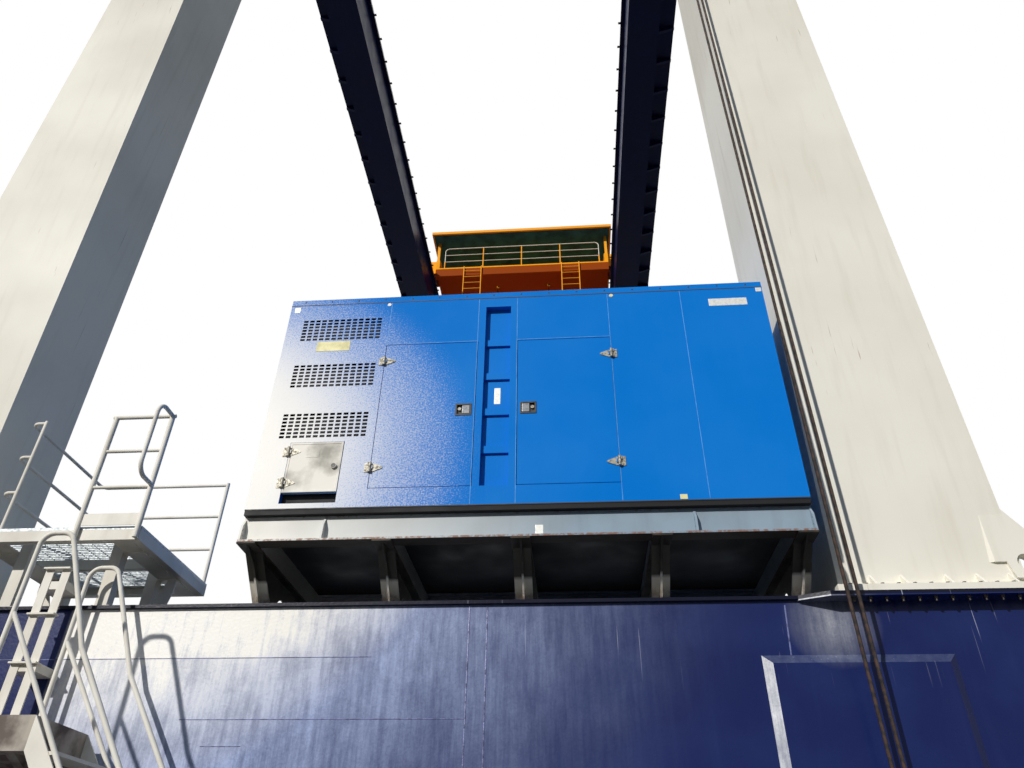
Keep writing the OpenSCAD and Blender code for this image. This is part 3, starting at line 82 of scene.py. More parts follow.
sun_from = Vector((-0.647, -1, 0.642))
lamp = bpy.data.objects.new("lamp", bpy.data.lights.new("lamp", "SUN"))
scene.collection.objects.link(lamp)
lamp.data.energy, lamp.data.angle = 3.55, math.radians(1.2)
lamp.data.color = (1.0, 0.965, 0.91)
lamp.matrix_world = sun_from.to_track_quat("Z", "Y").to_matrix().to_4x4()

world = scene.world = bpy.data.worlds.new("pale surround")
world.use_nodes = True
tree = world.node_tree
tree.nodes.clear()
rays = put(tree, "ShaderNodeLightPath")
seen = put(tree, "ShaderNodeMath", {0: rays.outputs["Is Camera Ray"], 1: rays.outputs["Is Glossy Ray"]},
           operation="MAXIMUM")
seen = put(tree, "ShaderNodeMath", {0: seen, 1: rays.outputs["Is Transmission Ray"]}, operation="MAXIMUM")
way = put(tree, "ShaderNodeSeparateXYZ", {0: put(tree, "ShaderNodeTexCoord").outputs["Generated"]})
height = put(tree, "ShaderNodeMapRange", {
    "Value": way.outputs["Z"], "From Min": -0.05, "From Max": 0.9, "To Min": 0.03, "To Max": 0.62})
fill = put(tree, "ShaderNodeBackground", {"Color": linear("c8dcfa"), "Strength": height})
white = put(tree, "ShaderNodeBackground", {"Color": (1, 1, 1, 1), "Strength": 1})
both = put(tree, "ShaderNodeMixShader", {0: seen, 1: fill, 2: white})
put(tree, "ShaderNodeOutputWorld", {"Surface": both})

floor_mesh = bpy.data.meshes.new("floor")
floor_mesh.from_pydata([(-150, -150, 0), (150, -150, 0), (150, 150, 0), (-150, 150, 0)], [], [(0, 1, 2, 3)])
floor = bpy.data.objects.new("floor", floor_mesh)
scene.collection.objects.link(floor)
# Matt pale screed: light to the eye, but it throws up no more light than a yard does.
screed = bpy.data.materials.new("pale_screed")
screed.use_nodes = True
tree = screed.node_tree
tree.nodes.clear()
rays = put(tree, "ShaderNodeLightPath")
tone = put(tree, "ShaderNodeMix", {0: rays.outputs["Is Diffuse Ray"], 6: (0.85, 0.85, 0.85, 1),
                                   7: (0.09, 0.09, 0.085, 1)}, data_type="RGBA")
matt = put(tree, "ShaderNodeBsdfDiffuse", {"Color": tone})
put(tree, "ShaderNodeOutputMaterial", {"Surface": matt})
floor_mesh.materials.append(screed)


# Wheels: eight rubber tyres with two rows of tread lugs, on dished steel rims that
# a ring of nuts holds to the hub. The axle runs in the bogie's side plates.
def coat(name, base, worn, roughness, metallic=0.0, specular=0.5, patch=(900, 0.35, 0.7, 0.12),
         streak=0.2, grain=(14, 0.25), swell=2.5):
    """A finish: worn patches (size in mm, from, to, most), runs down the surface, a gloss that
    follows the patches, a skin of grain (size and depth in mm) and a slow swell (depth in mm)."""
    material = bpy.data.materials.new(name)
    material.use_nodes = True
    tree = material.node_tree
    tree.nodes.clear()
    where = put(tree, "ShaderNodeTexCoord").outputs["Object"]
    shader = put(tree, "ShaderNodeBsdfPrincipled", {"Metallic": metallic, "Specular IOR Level": specular})
    put(tree, "ShaderNodeOutputMaterial", {"Surface": shader})
    size, low, high, most = patch
    cloud = put(tree, "ShaderNodeTexNoise", {"Vector": where, "Scale": 1000 / size, "Detail": 5.0})
    dull = put(tree, "ShaderNodeMapRange", {
        "Value": cloud, "From Min": low, "From Max": high, "To Max": most})
    tone = put(tree, "ShaderNodeMix", {0: dull, 6: linear(base), 7: linear(worn)}, data_type="RGBA")
    if streak:
        drawn = put(tree, "ShaderNodeMapping", {"Vector": where, "Scale": (1, 1, 0.07)})
        run = put(tree, "ShaderNodeTexNoise", {"Vector": drawn, "Scale": 11.0, "Detail": 4.0})
        wet = put(tree, "ShaderNodeMapRange", {
            "Value": run, "From Min": 0.52, "From Max": 0.8, "To Max": streak})
        tone = put(tree, "ShaderNodeMix", {0: wet, 6: tone, 7: linear(worn)}, data_type="RGBA")
    tree.links.new(tone.outputs[2], shader.inputs["Base Color"])
    gloss = put(tree, "ShaderNodeMapRange", {"Value": cloud, "From Min": 0.3, "From Max": 0.75,
                                             "To Min": roughness * 0.8, "To Max": roughness * 1.3})
    tree.links.new(gloss.outputs[0], shader.inputs["Roughness"])
    skin = put(tree, "ShaderNodeTexNoise", {"Vector": where, "Scale": 1000 / grain[0], "Detail": 2.0})
    lift = put(tree, "ShaderNodeBump", {"Height": skin, "Distance": grain[1] / 1000})
    if swell:
        plate = put(tree, "ShaderNodeTexNoise", {"Vector": where, "Scale": 0.9, "Detail": 2.0})
        lift = put(tree, "ShaderNodeBump", {"Height": plate, "Distance": swell / 1000, "Normal": lift})
    tree.links.new(lift.outputs[0], shader.inputs["Normal"])
    return material, tree, where, shader


def lay(finish, amount, colour):
    """Lays one colour over a finish: dust, rust and wear, and also painted light and shade."""
    tree, shader = finish[1], finish[3]
    below = shader.inputs["Base Color"].links[0].from_socket
    top = put(tree, "ShaderNodeMix", {0: amount, 6: below, 7: linear(colour)}, data_type="RGBA")
    tree.links.new(top.outputs[2], shader.inputs["Base Color"])


def dress(finish, *names):
    """Gives CAD nodes their finish."""
    for name in names:
        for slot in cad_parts[name].material_slots:
            slot.material = finish[0]


def piece(name, mesh, finish, body="portal"):
    """A finished piece: its mesh in place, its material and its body."""
    if isinstance(mesh, bmesh.types.BMesh):
        built = bpy.data.meshes.new(name)
        mesh.to_mesh(built)
        mesh.free()
        mesh = built
    mesh.materials.clear()
    mesh.materials.append(finish[0])
    made = bpy.data.objects.new(name, mesh)
    scene.collection.objects.link(made)
    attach(made, body)
    return made


def add_box(bm, low, high, edge=0.0):
    """A box from corner to corner, its edges eased where edge is given."""
    low, high = Vector(low), Vector(high)
    made = bmesh.ops.create_cube(bm, size=1, matrix=Matrix.Translation((low + high) / 2)
                                 @ Matrix.Diagonal((*(high - low), 1)))
    if edge:
        edges = list({e for v in made["verts"] for e in v.link_edges})
        bmesh.ops.bevel(bm, geom=edges, offset=edge, segments=2, affect="EDGES", profile=0.6)


def add_bar(bm, start, end, radius, sides=12, tip=None):
    """A bar of many sides, or a cone where the tip's radius is given."""
    start, end = Vector(start), Vector(end)
    run = end - start
    turn = run.to_track_quat("Z", "Y").to_matrix().to_4x4()
    bmesh.ops.create_cone(bm, cap_ends=True, segments=sides, radius1=radius,
                          radius2=radius if tip is None else tip, depth=run.length,
                          matrix=Matrix.Translation((start + end) / 2) @ turn)


def set_out(name, fitting, places, finish, body="portal"):
    """Repeats a small fitting at many places, each a point and a turn, with Geometry Nodes."""
    points = bpy.data.meshes.new(name)
    points.from_pydata([p for p, _ in places], [], [])
    turns = points.attributes.new("turn", "FLOAT_VECTOR", "POINT")
    turns.data.foreach_set("vector", [c for _, t in places for c in t])
    holder = bpy.data.objects.new(name + "_places", points)
    scene.collection.objects.link(holder)
    model = bpy.data.meshes.new(name + "_fitting")
    fitting.to_mesh(model)
    fitting.free()
    pattern = bpy.data.objects.new(name + "_fitting", model)
    scene.collection.objects.link(pattern)
    if "set out fittings" not in bpy.data.node_groups:
        tree = bpy.data.node_groups.new("set out fittings", "GeometryNodeTree")
        tree.interface.new_socket("Geometry", in_out="INPUT", socket_type="NodeSocketGeometry")
        tree.interface.new_socket("Fitting", in_out="INPUT", socket_type="NodeSocketObject")
        tree.interface.new_socket("Finish", in_out="INPUT", socket_type="NodeSocketMaterial")
        tree.interface.new_socket("Geometry", in_out="OUTPUT", socket_type="NodeSocketGeometry")
        given = put(tree, "NodeGroupInput").outputs
        shape = put(tree, "GeometryNodeObjectInfo", {"Object": given["Fitting"]})
        turn = put(tree, "GeometryNodeInputNamedAttribute", {"Name": "turn"}, data_type="FLOAT_VECTOR")
        to_turn = put(tree, "FunctionNodeEulerToRotation", {0: turn})
        copies = put(tree, "GeometryNodeInstanceOnPoints", {
            "Points": given["Geometry"], "Instance": shape.outputs["Geometry"], "Rotation": to_turn})
        real = put(tree, "GeometryNodeRealizeInstances", {0: copies})
        finished = put(tree, "GeometryNodeSetMaterial", {0: real, "Material": given["Finish"]})
        put(tree, "NodeGroupOutput", {0: finished})
    tree = bpy.data.node_groups["set out fittings"]
    repeat = holder.modifiers.new("set out", "NODES")
    repeat.node_group = tree
    ids = {i.name: i.identifier for i in tree.interface.items_tree if i.in_out == "INPUT"}
    repeat[ids["Fitting"]], repeat[ids["Finish"]] = pattern, finish[0]
    bpy.context.view_layer.update()
    mesh = bpy.data.meshes.new_from_object(holder.evaluated_get(bpy.context.evaluated_depsgraph_get()))
    for spare in (holder, pattern):
        bpy.data.objects.remove(spare)
    return piece(name, mesh, finish, body)


# Tyre rubber: black moulded compound, gone grey with yard dust. The grain is drawn at 6 mm.
rubber = coat("tyre_rubber", "17171a", "3a3835", 0.82, specular=0.3, patch=(260, 0.42, 0.72, 1), streak=0,
              grain=(6, 0.6), swell=0)
dress(rubber, "tyres_near", "tyres_far")
# Cream two-pack enamel, sprayed on blasted plate: half matt, with grey runs below the seams.
cream = coat("cream_enamel", "e4decf", "bdb4a0", 0.6, specular=0.15, patch=(1400, 0.4, 0.75, 0.3),
             streak=0.28, grain=(14, 0.1), swell=3)
dress(cream, "rims_near", "rims_far")
# Zinc-plated steel of bolts, nuts and hinges: fairly bright, with dull spots of 18 mm.
plated = coat("zinc_plated_steel", "a5a195", "605d55", 0.5, metallic=0.35, specular=0.2,
              patch=(18, 0.4, 0.7, 1), streak=0, grain=(3, 0.05), swell=0)

sill_y = 11.735
axle_z, tyre_r, hub_out = 0.725, 0.745, 0.19
wheel_x = [s * (3.435 + w * 1.2) for s in (-1, 1) for w in (-1, 1)]
lug_count, nut_count, nut_ring = 26, 10, 0.105
for side, end in (("near", -1), ("far", 1)):
    lug = bmesh.new()
    add_box(lug, (-0.03, -0.085, -0.02), (0.03, 0.085, 0.007), 0.006)
    places = []
    for x in wheel_x:
        for k in range(lug_count):
            for row in (-1, 1):
                a = (k + row * 0.25) * math.tau / lug_count
                place = Vector((x + tyre_r * math.sin(a), end * sill_y + row * 0.075,
                                axle_z + tyre_r * math.cos(a)))
                if place.z > 0.06:
                    places.append((place, (0, a, row * 0.35)))
    set_out("tread_" + side, lug, places, rubber)
    nut = bmesh.new()
    add_bar(nut, (0, -0.012, 0), (0, 0.012, 0), 0.017, 6)
    add_bar(nut, (0, -0.024, 0), (0, 0.024, 0), 0.009, 8)
    places = [(Vector((x + nut_ring * math.cos(k * math.tau / nut_count), end * sill_y + face * hub_out,
                       axle_z + nut_ring * math.sin(k * math.tau / nut_count))), (0, 0, 0))
              for x in wheel_x for face in (-1, 1) for k in range(nut_count)]
    set_out("wheel_nuts_" + side, nut, places, plated)


# Bogies: two side plates and a head of welded plate, fixed under each end of the sill
# beams; the wheels' axles run through the side plates.
# Navy enamel: deep and glossy, its orange-peel skin drawn at 16 mm so that it shows.
navy = coat("navy_enamel", "0c1338", "232c52", 0.36, specular=0.08, patch=(700, 0.4, 0.75, 0.2),
            streak=0.15, grain=(16, 0.3))
dress(navy, "bogies_near", "bogies_far")


# Sill beams: welded boxes 11 m long, of plates that overlap in long seams, carried by
# the bogies. The near one is scratched, and its left half carries a painted sun glare, a pale crinkled
# film.
sill_face, lip_z = -12.185, 3.508
glare_x, glare_z = -1.99, 5.09
near_navy = coat("navy_enamel_painted_glare", "101d50", "2a3a6e", 0.34, specular=0.15,
                 patch=(500, 0.4, 0.75, 0.3), streak=0.15, grain=(20, 1.1), swell=4)
tree, where = near_navy[1], near_navy[2]
axes = put(tree, "ShaderNodeSeparateXYZ", {0: where}).outputs
flat = put(tree, "ShaderNodeVectorMath", {0: where, 1: (1, 0, 1)}, operation="MULTIPLY")
reach = put(tree, "ShaderNodeVectorMath", {0: flat, 1: (glare_x, 0, glare_z)}, operation="DISTANCE")
reach = reach.outputs["Value"]
below_lip = put(tree, "ShaderNodeMapRange", {
    "Value": axes["Z"], "From Min": lip_z + 0.001, "From Max": lip_z - 0.001})
# Crinkled skin of the painted glare: folds of 25 mm, brush marks of 0.2 m and clouds of 0.4 m.
fold = put(tree, "ShaderNodeTexNoise", {"Vector": where, "Scale": 38.0, "Detail": 6.0, "Roughness": 0.72,
                                        "Distortion": 1.2})
fold = put(tree, "ShaderNodeMapRange", {"Value": fold, "From Min": 0.36, "From Max": 0.6,
                                        "To Min": 0.82, "To Max": 1.08})
cloud = put(tree, "ShaderNodeTexNoise", {"Vector": where, "Scale": 2.6, "Detail": 4.0, "Roughness": 0.6})
cloud = put(tree, "ShaderNodeMapRange", {"Value": cloud, "From Min": 0.35, "From Max": 0.65,
                                         "To Min": 0.7, "To Max": 1.2})
drawn = put(tree, "ShaderNodeMapping", {"Vector": where, "Rotation": (0, 0.08, 0), "Scale": (1, 1, 0.1)})
brush = put(tree, "ShaderNodeTexNoise", {"Vector": drawn, "Scale": 24.0, "Detail": 5.0, "Roughness": 0.65})
brush = put(tree, "ShaderNodeMapRange", {"Value": brush, "From Min": 0.35, "From Max": 0.68,
                                         "To Min": 0.72, "To Max": 1.35})
# Left of the ladder, where shade falls on the sill, the painted glare stops; it lies on the outer face
# alone.
beyond_ladder_shadow = put(tree, "ShaderNodeMapRange", {"Value": axes["X"], "From Min": -2.24, "From Max": -2.17})
outer = put(tree, "ShaderNodeMapRange", {"Value": axes["Y"], "From Min": sill_face + 0.03,
                                         "From Max": sill_face + 0.01})
skin = fold
for part in (cloud, brush, below_lip, beyond_ladder_shadow, outer):
    skin = put(tree, "ShaderNodeMath", {0: skin, 1: part}, operation="MULTIPLY")
# Painted sun glare in two layers, a faint bluish one and a near white one, growing towards the point where
# the sun's reflection falls; the near white one is stronger above the lap seam.
glare_faint = put(tree, "ShaderNodeMapRange", {"Value": reach, "From Min": 5.2, "From Max": 2.45})
glare_faint = put(tree, "ShaderNodeMath", {0: glare_faint, 1: 2.0}, operation="POWER")
band = put(tree, "ShaderNodeMapRange", {"Value": axes["Z"], "From Min": 3.14, "From Max": 3.15,
                                        "To Min": 0.85, "To Max": 1.2})
glare_bright = put(tree, "ShaderNodeMapRange", {"Value": reach, "From Min": 2.9, "From Max": 2.0})
glare_bright = put(tree, "ShaderNodeMath", {0: glare_bright, 1: band}, operation="MULTIPLY")
# Pale dust where the ropes come down, laid after the faint and the bright painted glare.
beside = put(tree, "ShaderNodeVectorMath", {0: flat, 1: (3.32, 0, 3.36)}, operation="DISTANCE")
dust = put(tree, "ShaderNodeMapRange", {
    "Value": beside.outputs["Value"], "From Min": 0.34, "From Max": 0.02, "To Max": 0.42})
for glare_and_dust, colour in ((glare_faint, "9fadd2"), (glare_bright, "f6f4ee"), (dust, "b9bdc4")):
    cover = put(tree, "ShaderNodeMath", {0: glare_and_dust, 1: skin}, operation="MULTIPLY", use_clamp=True)
    lay(near_navy, cover, colour)
# The pad's bevels carry a painted highlight: near white on the left one, which faces the sun, grey on the
# top one.
normal = put(tree, "ShaderNodeNewGeometry").outputs["Normal"]
facing = put(tree, "ShaderNodeSeparateXYZ", {0: normal}).outputs
on_pad = put(tree, "ShaderNodeMapRange", {"Value": axes["X"], "From Min": 2.5, "From Max": 2.6})
leftward = put(tree, "ShaderNodeMath", {0: facing["X"], 1: -1.0}, operation="MULTIPLY")
for turned, most, colour in ((leftward, 0.7, "d9dce2"), (facing["Z"], 0.16, "8f9ab0")):
    bevel = put(tree, "ShaderNodeMapRange", {
        "Value": turned, "From Min": 0.15, "From Max": 0.3, "To Max": most})
    bevel = put(tree, "ShaderNodeMath", {0: bevel, 1: on_pad}, operation="MULTIPLY")
    bevel = put(tree, "ShaderNodeMath", {0: bevel, 1: skin}, operation="MULTIPLY", use_clamp=True)
    lay(near_navy, bevel, colour)
edge = put(tree, "ShaderNodeMapRange", {
    "Value": axes["Z"], "From Min": lip_z - 0.001, "From Max": lip_z + 0.001})
lay(near_navy, edge, "070b22")
# Long thin scratches down to the pale primer, about 3 mm wide.
drawn = put(tree, "ShaderNodeMapping", {"Vector": where, "Rotation": (0, 0.12, 0), "Scale": (1, 1, 0.02)})
scratch = put(tree, "ShaderNodeTexNoise", {"Vector": drawn, "Scale": 60.0, "Detail": 2.0})
scratch = put(tree, "ShaderNodeMapRange", {
    "Value": scratch, "From Min": 0.7, "From Max": 0.74, "To Max": 0.5})
high = put(tree, "ShaderNodeMapRange", {"Value": axes["Z"], "From Min": 2.9, "From Max": 3.4})
scratch = put(tree, "ShaderNodeMath", {0: scratch, 1: high}, operation="MULTIPLY")
lay(near_navy, scratch, "c9cde0")
dress(near_navy, "sill_near")
dress(navy, "sill_far")

# Weld beads: ripples every 9 mm down the two closing seams and one beside the pad,
# painted over and worn bright on top.
bead_paint = coat("worn_weld_bead", "6a72a2", "28305e", 0.35, patch=(40, 0.45, 0.6, 1), streak=0,
                  grain=(6, 0.3), swell=0)
ripple, ripple_pitch = bmesh.new(), 0.009
bmesh.ops.create_icosphere(ripple, subdivisions=1, radius=0.008, matrix=Matrix.Diagonal((0.8, 0.35, 1, 1)))
places = []
for x0, z0, x1, z1 in ((0.786, 2.42, 0.786, 3.5), (0.916, 2.42, 0.916, 3.5), (3.0, 3.135, 3.02, 3.47)):
    start, end = Vector((x0, sill_face, z0)), Vector((x1, sill_face, z1))
    steps = int((end - start).length / ripple_pitch)
    places += [(start.lerp(end, k / steps), (0, 0, 0)) for k in range(steps + 1)]
set_out("sill_weld_beads", ripple, places, bead_paint)
laps = bmesh.new()
for x0, x1, z in ((-2.75, 0.1, 3.147), (-1.19, 0.78, 2.735), (-1.0, -0.72, 2.566)):
    add_box(laps, (x0, sill_face - 0.0025, z - 0.004), (x1, sill_face + 0.002, z + 0.001), 0.001)
piece("sill_lap_seams", laps, bead_paint)


# Legs: tapered box columns of welded plate on the sill beams, cream enamel. Their
# foot plates are bolted down through the seat plates of the sill.
scratched = coat("scratched_cream_enamel", "eae7db", "c6beac", 0.6, specular=0.15,
                 patch=(1600, 0.4, 0.75, 0.35), streak=0.3, grain=(14, 0.1), swell=5)
tree, where = scratched[1], scratched[2]
# Fine rust that bleeds down from scratches 3 to 4 mm wide and half a metre long.
drawn = put(tree, "ShaderNodeMapping", {
    "Vector": where, "Rotation": (0.03, 0.05, 0), "Scale": (1, 1, 0.015)})
line = put(tree, "ShaderNodeTexNoise", {"Vector": drawn, "Scale": 42.0, "Detail": 2.5})
line = put(tree, "ShaderNodeMapRange", {"Value": line, "From Min": 0.71, "From Max": 0.76, "To Max": 0.55})
area = put(tree, "ShaderNodeTexNoise", {"Vector": where, "Scale": 1.1, "Detail": 3.0})
area = put(tree, "ShaderNodeMapRange", {"Value": area, "From Min": 0.45, "From Max": 0.6})
line = put(tree, "ShaderNodeMath", {0: line, 1: area}, operation="MULTIPLY")
lay(scratched, line, "8f6a4c")
dress(scratched, "leg_near_left", "leg_near_right", "leg_far_left", "leg_far_right")

# Black oxide steel of the foot bolts.
black_steel = coat("black_oxide_steel", "1b1b1e", "3c342c", 0.45, metallic=0.6, patch=(30, 0.4, 0.7, 1),
                   streak=0, grain=(4, 0.08), swell=0)
foot_z, seat_z = 3.579, 3.499
row_x, row_y, row_pitch = 3.475, 12.265, 0.11
end_x, end_y, end_pitch = 4.795, 11.45, 0.14
bolts, nuts = [], []
for sx in (-1, 1):
    for sy in (-1, 1):
        spots = [(row_x + row_pitch * k, row_y) for k in range(12)]
        spots += [(end_x, end_y + end_pitch * k) for k in range(6)]
        bolts += [(Vector((sx * x, sy * y, foot_z)), (0, 0, 0)) for x, y in spots]
        nuts += [(Vector((sx * x, sy * y, seat_z)), (0, 0, 0)) for x, y in spots]
head = bmesh.new()
add_bar(head, (0, 0, -0.002), (0, 0, 0.004), 0.0155, 16)
add_bar(head, (0, 0, 0.004), (0, 0, 0.018), 0.0135, 6)
set_out("foot_bolts", head, bolts, black_steel)
tail = bmesh.new()
add_bar(tail, (0, 0, -0.016), (0, 0, 0.001), 0.0145, 6)
add_bar(tail, (0, 0, -0.034), (0, 0, -0.014), 0.009, 8)
set_out("foot_nuts", tail, nuts, black_steel)

# Wire ropes beside the right leg: greased strands laid round a core, gone brown.
# The lay is drawn as slanting bands of 30 mm, which is coarser than the real one.
rope = coat("greased_wire_rope", "3b281d", "17110e", 0.62, metallic=0.3, patch=(60, 0.4, 0.7, 1), streak=0,
            grain=(5, 0.4), swell=0)
tree, where = rope[1], rope[2]
strand = put(tree, "ShaderNodeTexWave", {"Vector": where, "Scale": 9.0, "Distortion": 0.6},
             wave_type="BANDS", bands_direction="DIAGONAL")
hollow = put(tree, "ShaderNodeMapRange", {
    "Value": strand.outputs["Fac"], "From Min": 0.45, "From Max": 0.1, "To Max": 0.8})
lay(rope, hollow, "0d0a09")
dress(rope, "leg_ropes")


# Girders: two welded box girders 27 m long, navy, fixed on the leg heads, with the
# trolley's rails clipped to their inner edges and walkways with railings outside.
dress(navy, "girder_left", "girder_right", "walkway_left", "walkway_right")
# White enamel of railings and ladders: brighter than the legs, with dirt in thin runs.
white_enamel = coat("white_enamel", "e4e0d5", "aba18c", 0.5, specular=0.15, patch=(300, 0.45, 0.75, 0.3),
                    streak=0.25, grain=(10, 0.08), swell=0)
dress(white_enamel, "handrail_left", "handrail_right")
# Rail steel: the head bright where wheels run, brown scale elsewhere.
rail_steel = coat("worn_rail_steel", "7d7a76", "4f3a2b", 0.42, metallic=0.8, patch=(120, 0.45, 0.6, 1),
                  streak=0, grain=(8, 0.1), swell=0)
dress(rail_steel, "trolley_rails")
clip = bmesh.new()
add_box(clip, (-0.035, -0.03, 0), (0.035, 0.03, 0.016), 0.003)
add_bar(clip, (0.012, 0, 0.016), (0.012, 0, 0.03), 0.011, 6)
rail_x, rail_half, girder_top, clip_pitch = 3.42, 0.035, 22.04, 0.7
clips = [(Vector((s * (rail_x + t * (rail_half + 0.034)), -12.9 + clip_pitch * k, girder_top)),
          (0, 0, 0 if s * t > 0 else math.pi)) for s in (-1, 1) for t in (-1, 1) for k in range(37)]
set_out("rail_clips", clip, clips, black_steel)


# Support of the generator set: two H beams with holed stiffeners on flared brackets,
# in pale grey primer with rust along the edges and at the brackets' feet.
primer = coat("grey_primer", "8d9fae", "6f7b82", 0.48, specular=0.2, patch=(350, 0.4, 0.72, 0.4),
              streak=0.3, grain=(10, 0.12), swell=2)


def rust_along(finish, bands, colour):
    """Flakes of rust on a finish, in bands that fade in from one height to another."""
    tree, where = finish[1], finish[2]
    height = put(tree, "ShaderNodeSeparateXYZ", {0: where}).outputs["Z"]
    flake = put(tree, "ShaderNodeTexNoise", {
        "Vector": where, "Scale": 22.0, "Detail": 6.0, "Roughness": 0.75})
    for low, high, level in bands:
        near = put(tree, "ShaderNodeMapRange", {"Value": height, "From Min": low, "From Max": high})
        rust = put(tree, "ShaderNodeMapRange", {
            "Value": flake, "From Min": level - 0.06, "From Max": level + 0.05, "To Max": 0.8})
        lay(finish, put(tree, "ShaderNodeMath", {0: near, 1: rust}, operation="MULTIPLY"), colour)


tree = primer[1]
axes = put(tree, "ShaderNodeSeparateXYZ", {0: primer[2]}).outputs
# Painted sun glare: the beams are laid paler towards their left end.
pale = put(tree, "ShaderNodeMapRange", {"Value": axes["X"], "From Min": 1.6, "From Max": -0.8})
lay(primer, pale, "e4e2da")
rust_along(primer, ((3.862, 3.853, 0.5), (4.03, 4.05, 0.6)), "7c4a26")
# Painted shade: its underside is laid near black.
under = put(tree, "ShaderNodeMapRange", {"Value": axes["Z"], "From Min": 3.842, "From Max": 3.8405})
lay(primer, under, "26221d")
dress(primer, "support_beams")
# Brackets: painted shade, a near black brown over the whole bracket, with the sunlit fronts
# of the feet painted pale as painted light, and rust at the feet and under the cap plates.
shaded_bracket_primer = coat("bracket_primer_painted_shade", "35322b", "1b1a17", 0.5, specular=0.2, patch=(300, 0.4, 0.7, 1),
                   streak=0.3, grain=(10, 0.12), swell=2)
tree = shaded_bracket_primer[1]
axes = put(tree, "ShaderNodeSeparateXYZ", {0: shaded_bracket_primer[2]}).outputs
foot = put(tree, "ShaderNodeMapRange", {"Value": axes["Z"], "From Min": 3.68, "From Max": 3.66})
outer = put(tree, "ShaderNodeMapRange", {"Value": axes["Y"], "From Min": -12.06, "From Max": -12.08})
lay(shaded_bracket_primer, put(tree, "ShaderNodeMath", {0: foot, 1: outer}, operation="MULTIPLY"), "f2ecdd")
rust_along(shaded_bracket_primer, ((3.62, 3.52, 0.5), (3.834, 3.838, 0.52)), "8a552c")
dress(shaded_bracket_primer, "support_brackets")
# Aluminium foil plates: bare, dull silver.
foil = coat("dull_aluminium", "d9dad6", "a9aaa6", 0.42, metallic=0.4, patch=(25, 0.4, 0.7, 0.6), streak=0,
            grain=(3, 0.03), swell=0)
beam_web = -12.576
tag = bmesh.new()
add_box(tag, (1.285, beam_web - 0.0015, 3.877), (1.341, beam_web + 0.001, 3.947), 0.0008)
piece("beam_tag", tag, foil)
# Bitumen paint of the skid; the same black serves as painted shade behind the openings.
bitumen_and_shade = coat("bitumen_paint_and_painted_shade", "0c0d10", "1c1c1e", 0.6, specular=0.2, patch=(300, 0.4, 0.7, 1), streak=0,
               grain=(12, 0.2), swell=0)
dress(bitumen_and_shade, "gen_skid")


# Housing of the generator set: folded sheet panels, powder coated bright blue, on a
# black skid that rests on the support's beams. The left end carries a painted sun glare,
# a pale speckle and film that thin out to the right.
front, base_z, roof_z = -12.625, 4.092, 6.083
left_x, right_x, back_y = -0.866, 3.225, -10.85
housing_glare_x, housing_glare_z, housing_glare_squeeze = -1.7, 4.5, 1.2
blue = coat("blue_powder_coat", "0073cd", "2a88d8", 0.36, specular=0.08, patch=(800, 0.4, 0.75, 0.25),
            streak=0.05, grain=(18, 0.6), swell=3)
tree, where = blue[1], blue[2]
spread = put(tree, "ShaderNodeVectorMath", {0: where, 1: (1, 0, housing_glare_squeeze)}, operation="MULTIPLY")
reach = put(tree, "ShaderNodeVectorMath", {0: spread, 1: (housing_glare_x, 0, housing_glare_z * housing_glare_squeeze)},
            operation="DISTANCE").outputs["Value"]
fade = put(tree, "ShaderNodeMapRange", {"Value": reach, "From Min": 2.6, "From Max": 1.25})
# Speckle of the painted glare: grains of 5 to 15 mm.
grain = put(tree, "ShaderNodeTexNoise", {"Vector": where, "Scale": 85.0, "Detail": 3.0, "Roughness": 0.6})
level = put(tree, "ShaderNodeMath", {0: fade, 1: -0.36, 2: 0.62}, operation="MULTIPLY_ADD")
speckle = put(tree, "ShaderNodeMath", {0: grain, 1: level}, operation="SUBTRACT")
speckle = put(tree, "ShaderNodeMapRange", {
    "Value": speckle, "From Min": -0.08, "From Max": 0.14, "To Max": 0.96})
# Half of the painted glare lies as a film between the grains, on the front face alone.
film = put(tree, "ShaderNodeMath", {0: fade, 1: 1.3}, operation="POWER")
glare_mask = put(tree, "ShaderNodeMath", {0: speckle, 1: film}, operation="ADD")
axes = put(tree, "ShaderNodeSeparateXYZ", {0: where}).outputs
outer = put(tree, "ShaderNodeMapRange", {
    "Value": axes["Y"], "From Min": front + 0.002, "From Max": front + 0.0008})
some = put(tree, "ShaderNodeMapRange", {"Value": fade, "From Min": 0.0, "From Max": 0.22})
for part in (0.5, some, outer):
    glare_mask = put(tree, "ShaderNodeMath", {0: glare_mask, 1: part}, operation="MULTIPLY")
# Painted sun glare: pale blue-white, and near white closest to the glare's centre.
lay(blue, glare_mask, "d9dde8")
full = put(tree, "ShaderNodeMapRange", {"Value": reach, "From Min": 1.9, "From Max": 1.0})
lay(blue, put(tree, "ShaderNodeMath", {0: full, 1: glare_mask}, operation="MULTIPLY"), "f8f6f0")
# Painted shade: the inner walls of the grilles' openings are laid near black.
opening_shade = put(tree, "ShaderNodeMapRange", {
    "Value": axes["Y"], "From Min": front + 0.0006, "From Max": front + 0.0016})
for side, low, high in (("X", -0.76, -0.75), ("X", 0.0, -0.01), ("Y", front + 0.07, front + 0.06),
                        ("Z", 4.69, 4.695), ("Z", 5.92, 5.915)):
    inside = put(tree, "ShaderNodeMapRange", {"Value": axes[side], "From Min": low, "From Max": high})
    opening_shade = put(tree, "ShaderNodeMath", {0: opening_shade, 1: inside}, operation="MULTIPLY")
lay(blue, opening_shade, "07080c")
dress(blue, "gen_shell", "gen_roof", "gen_grille_wall", "gen_ladder_wall", "gen_right_wall", "gen_header",
      "gen_grilles", "door_left", "door_right")

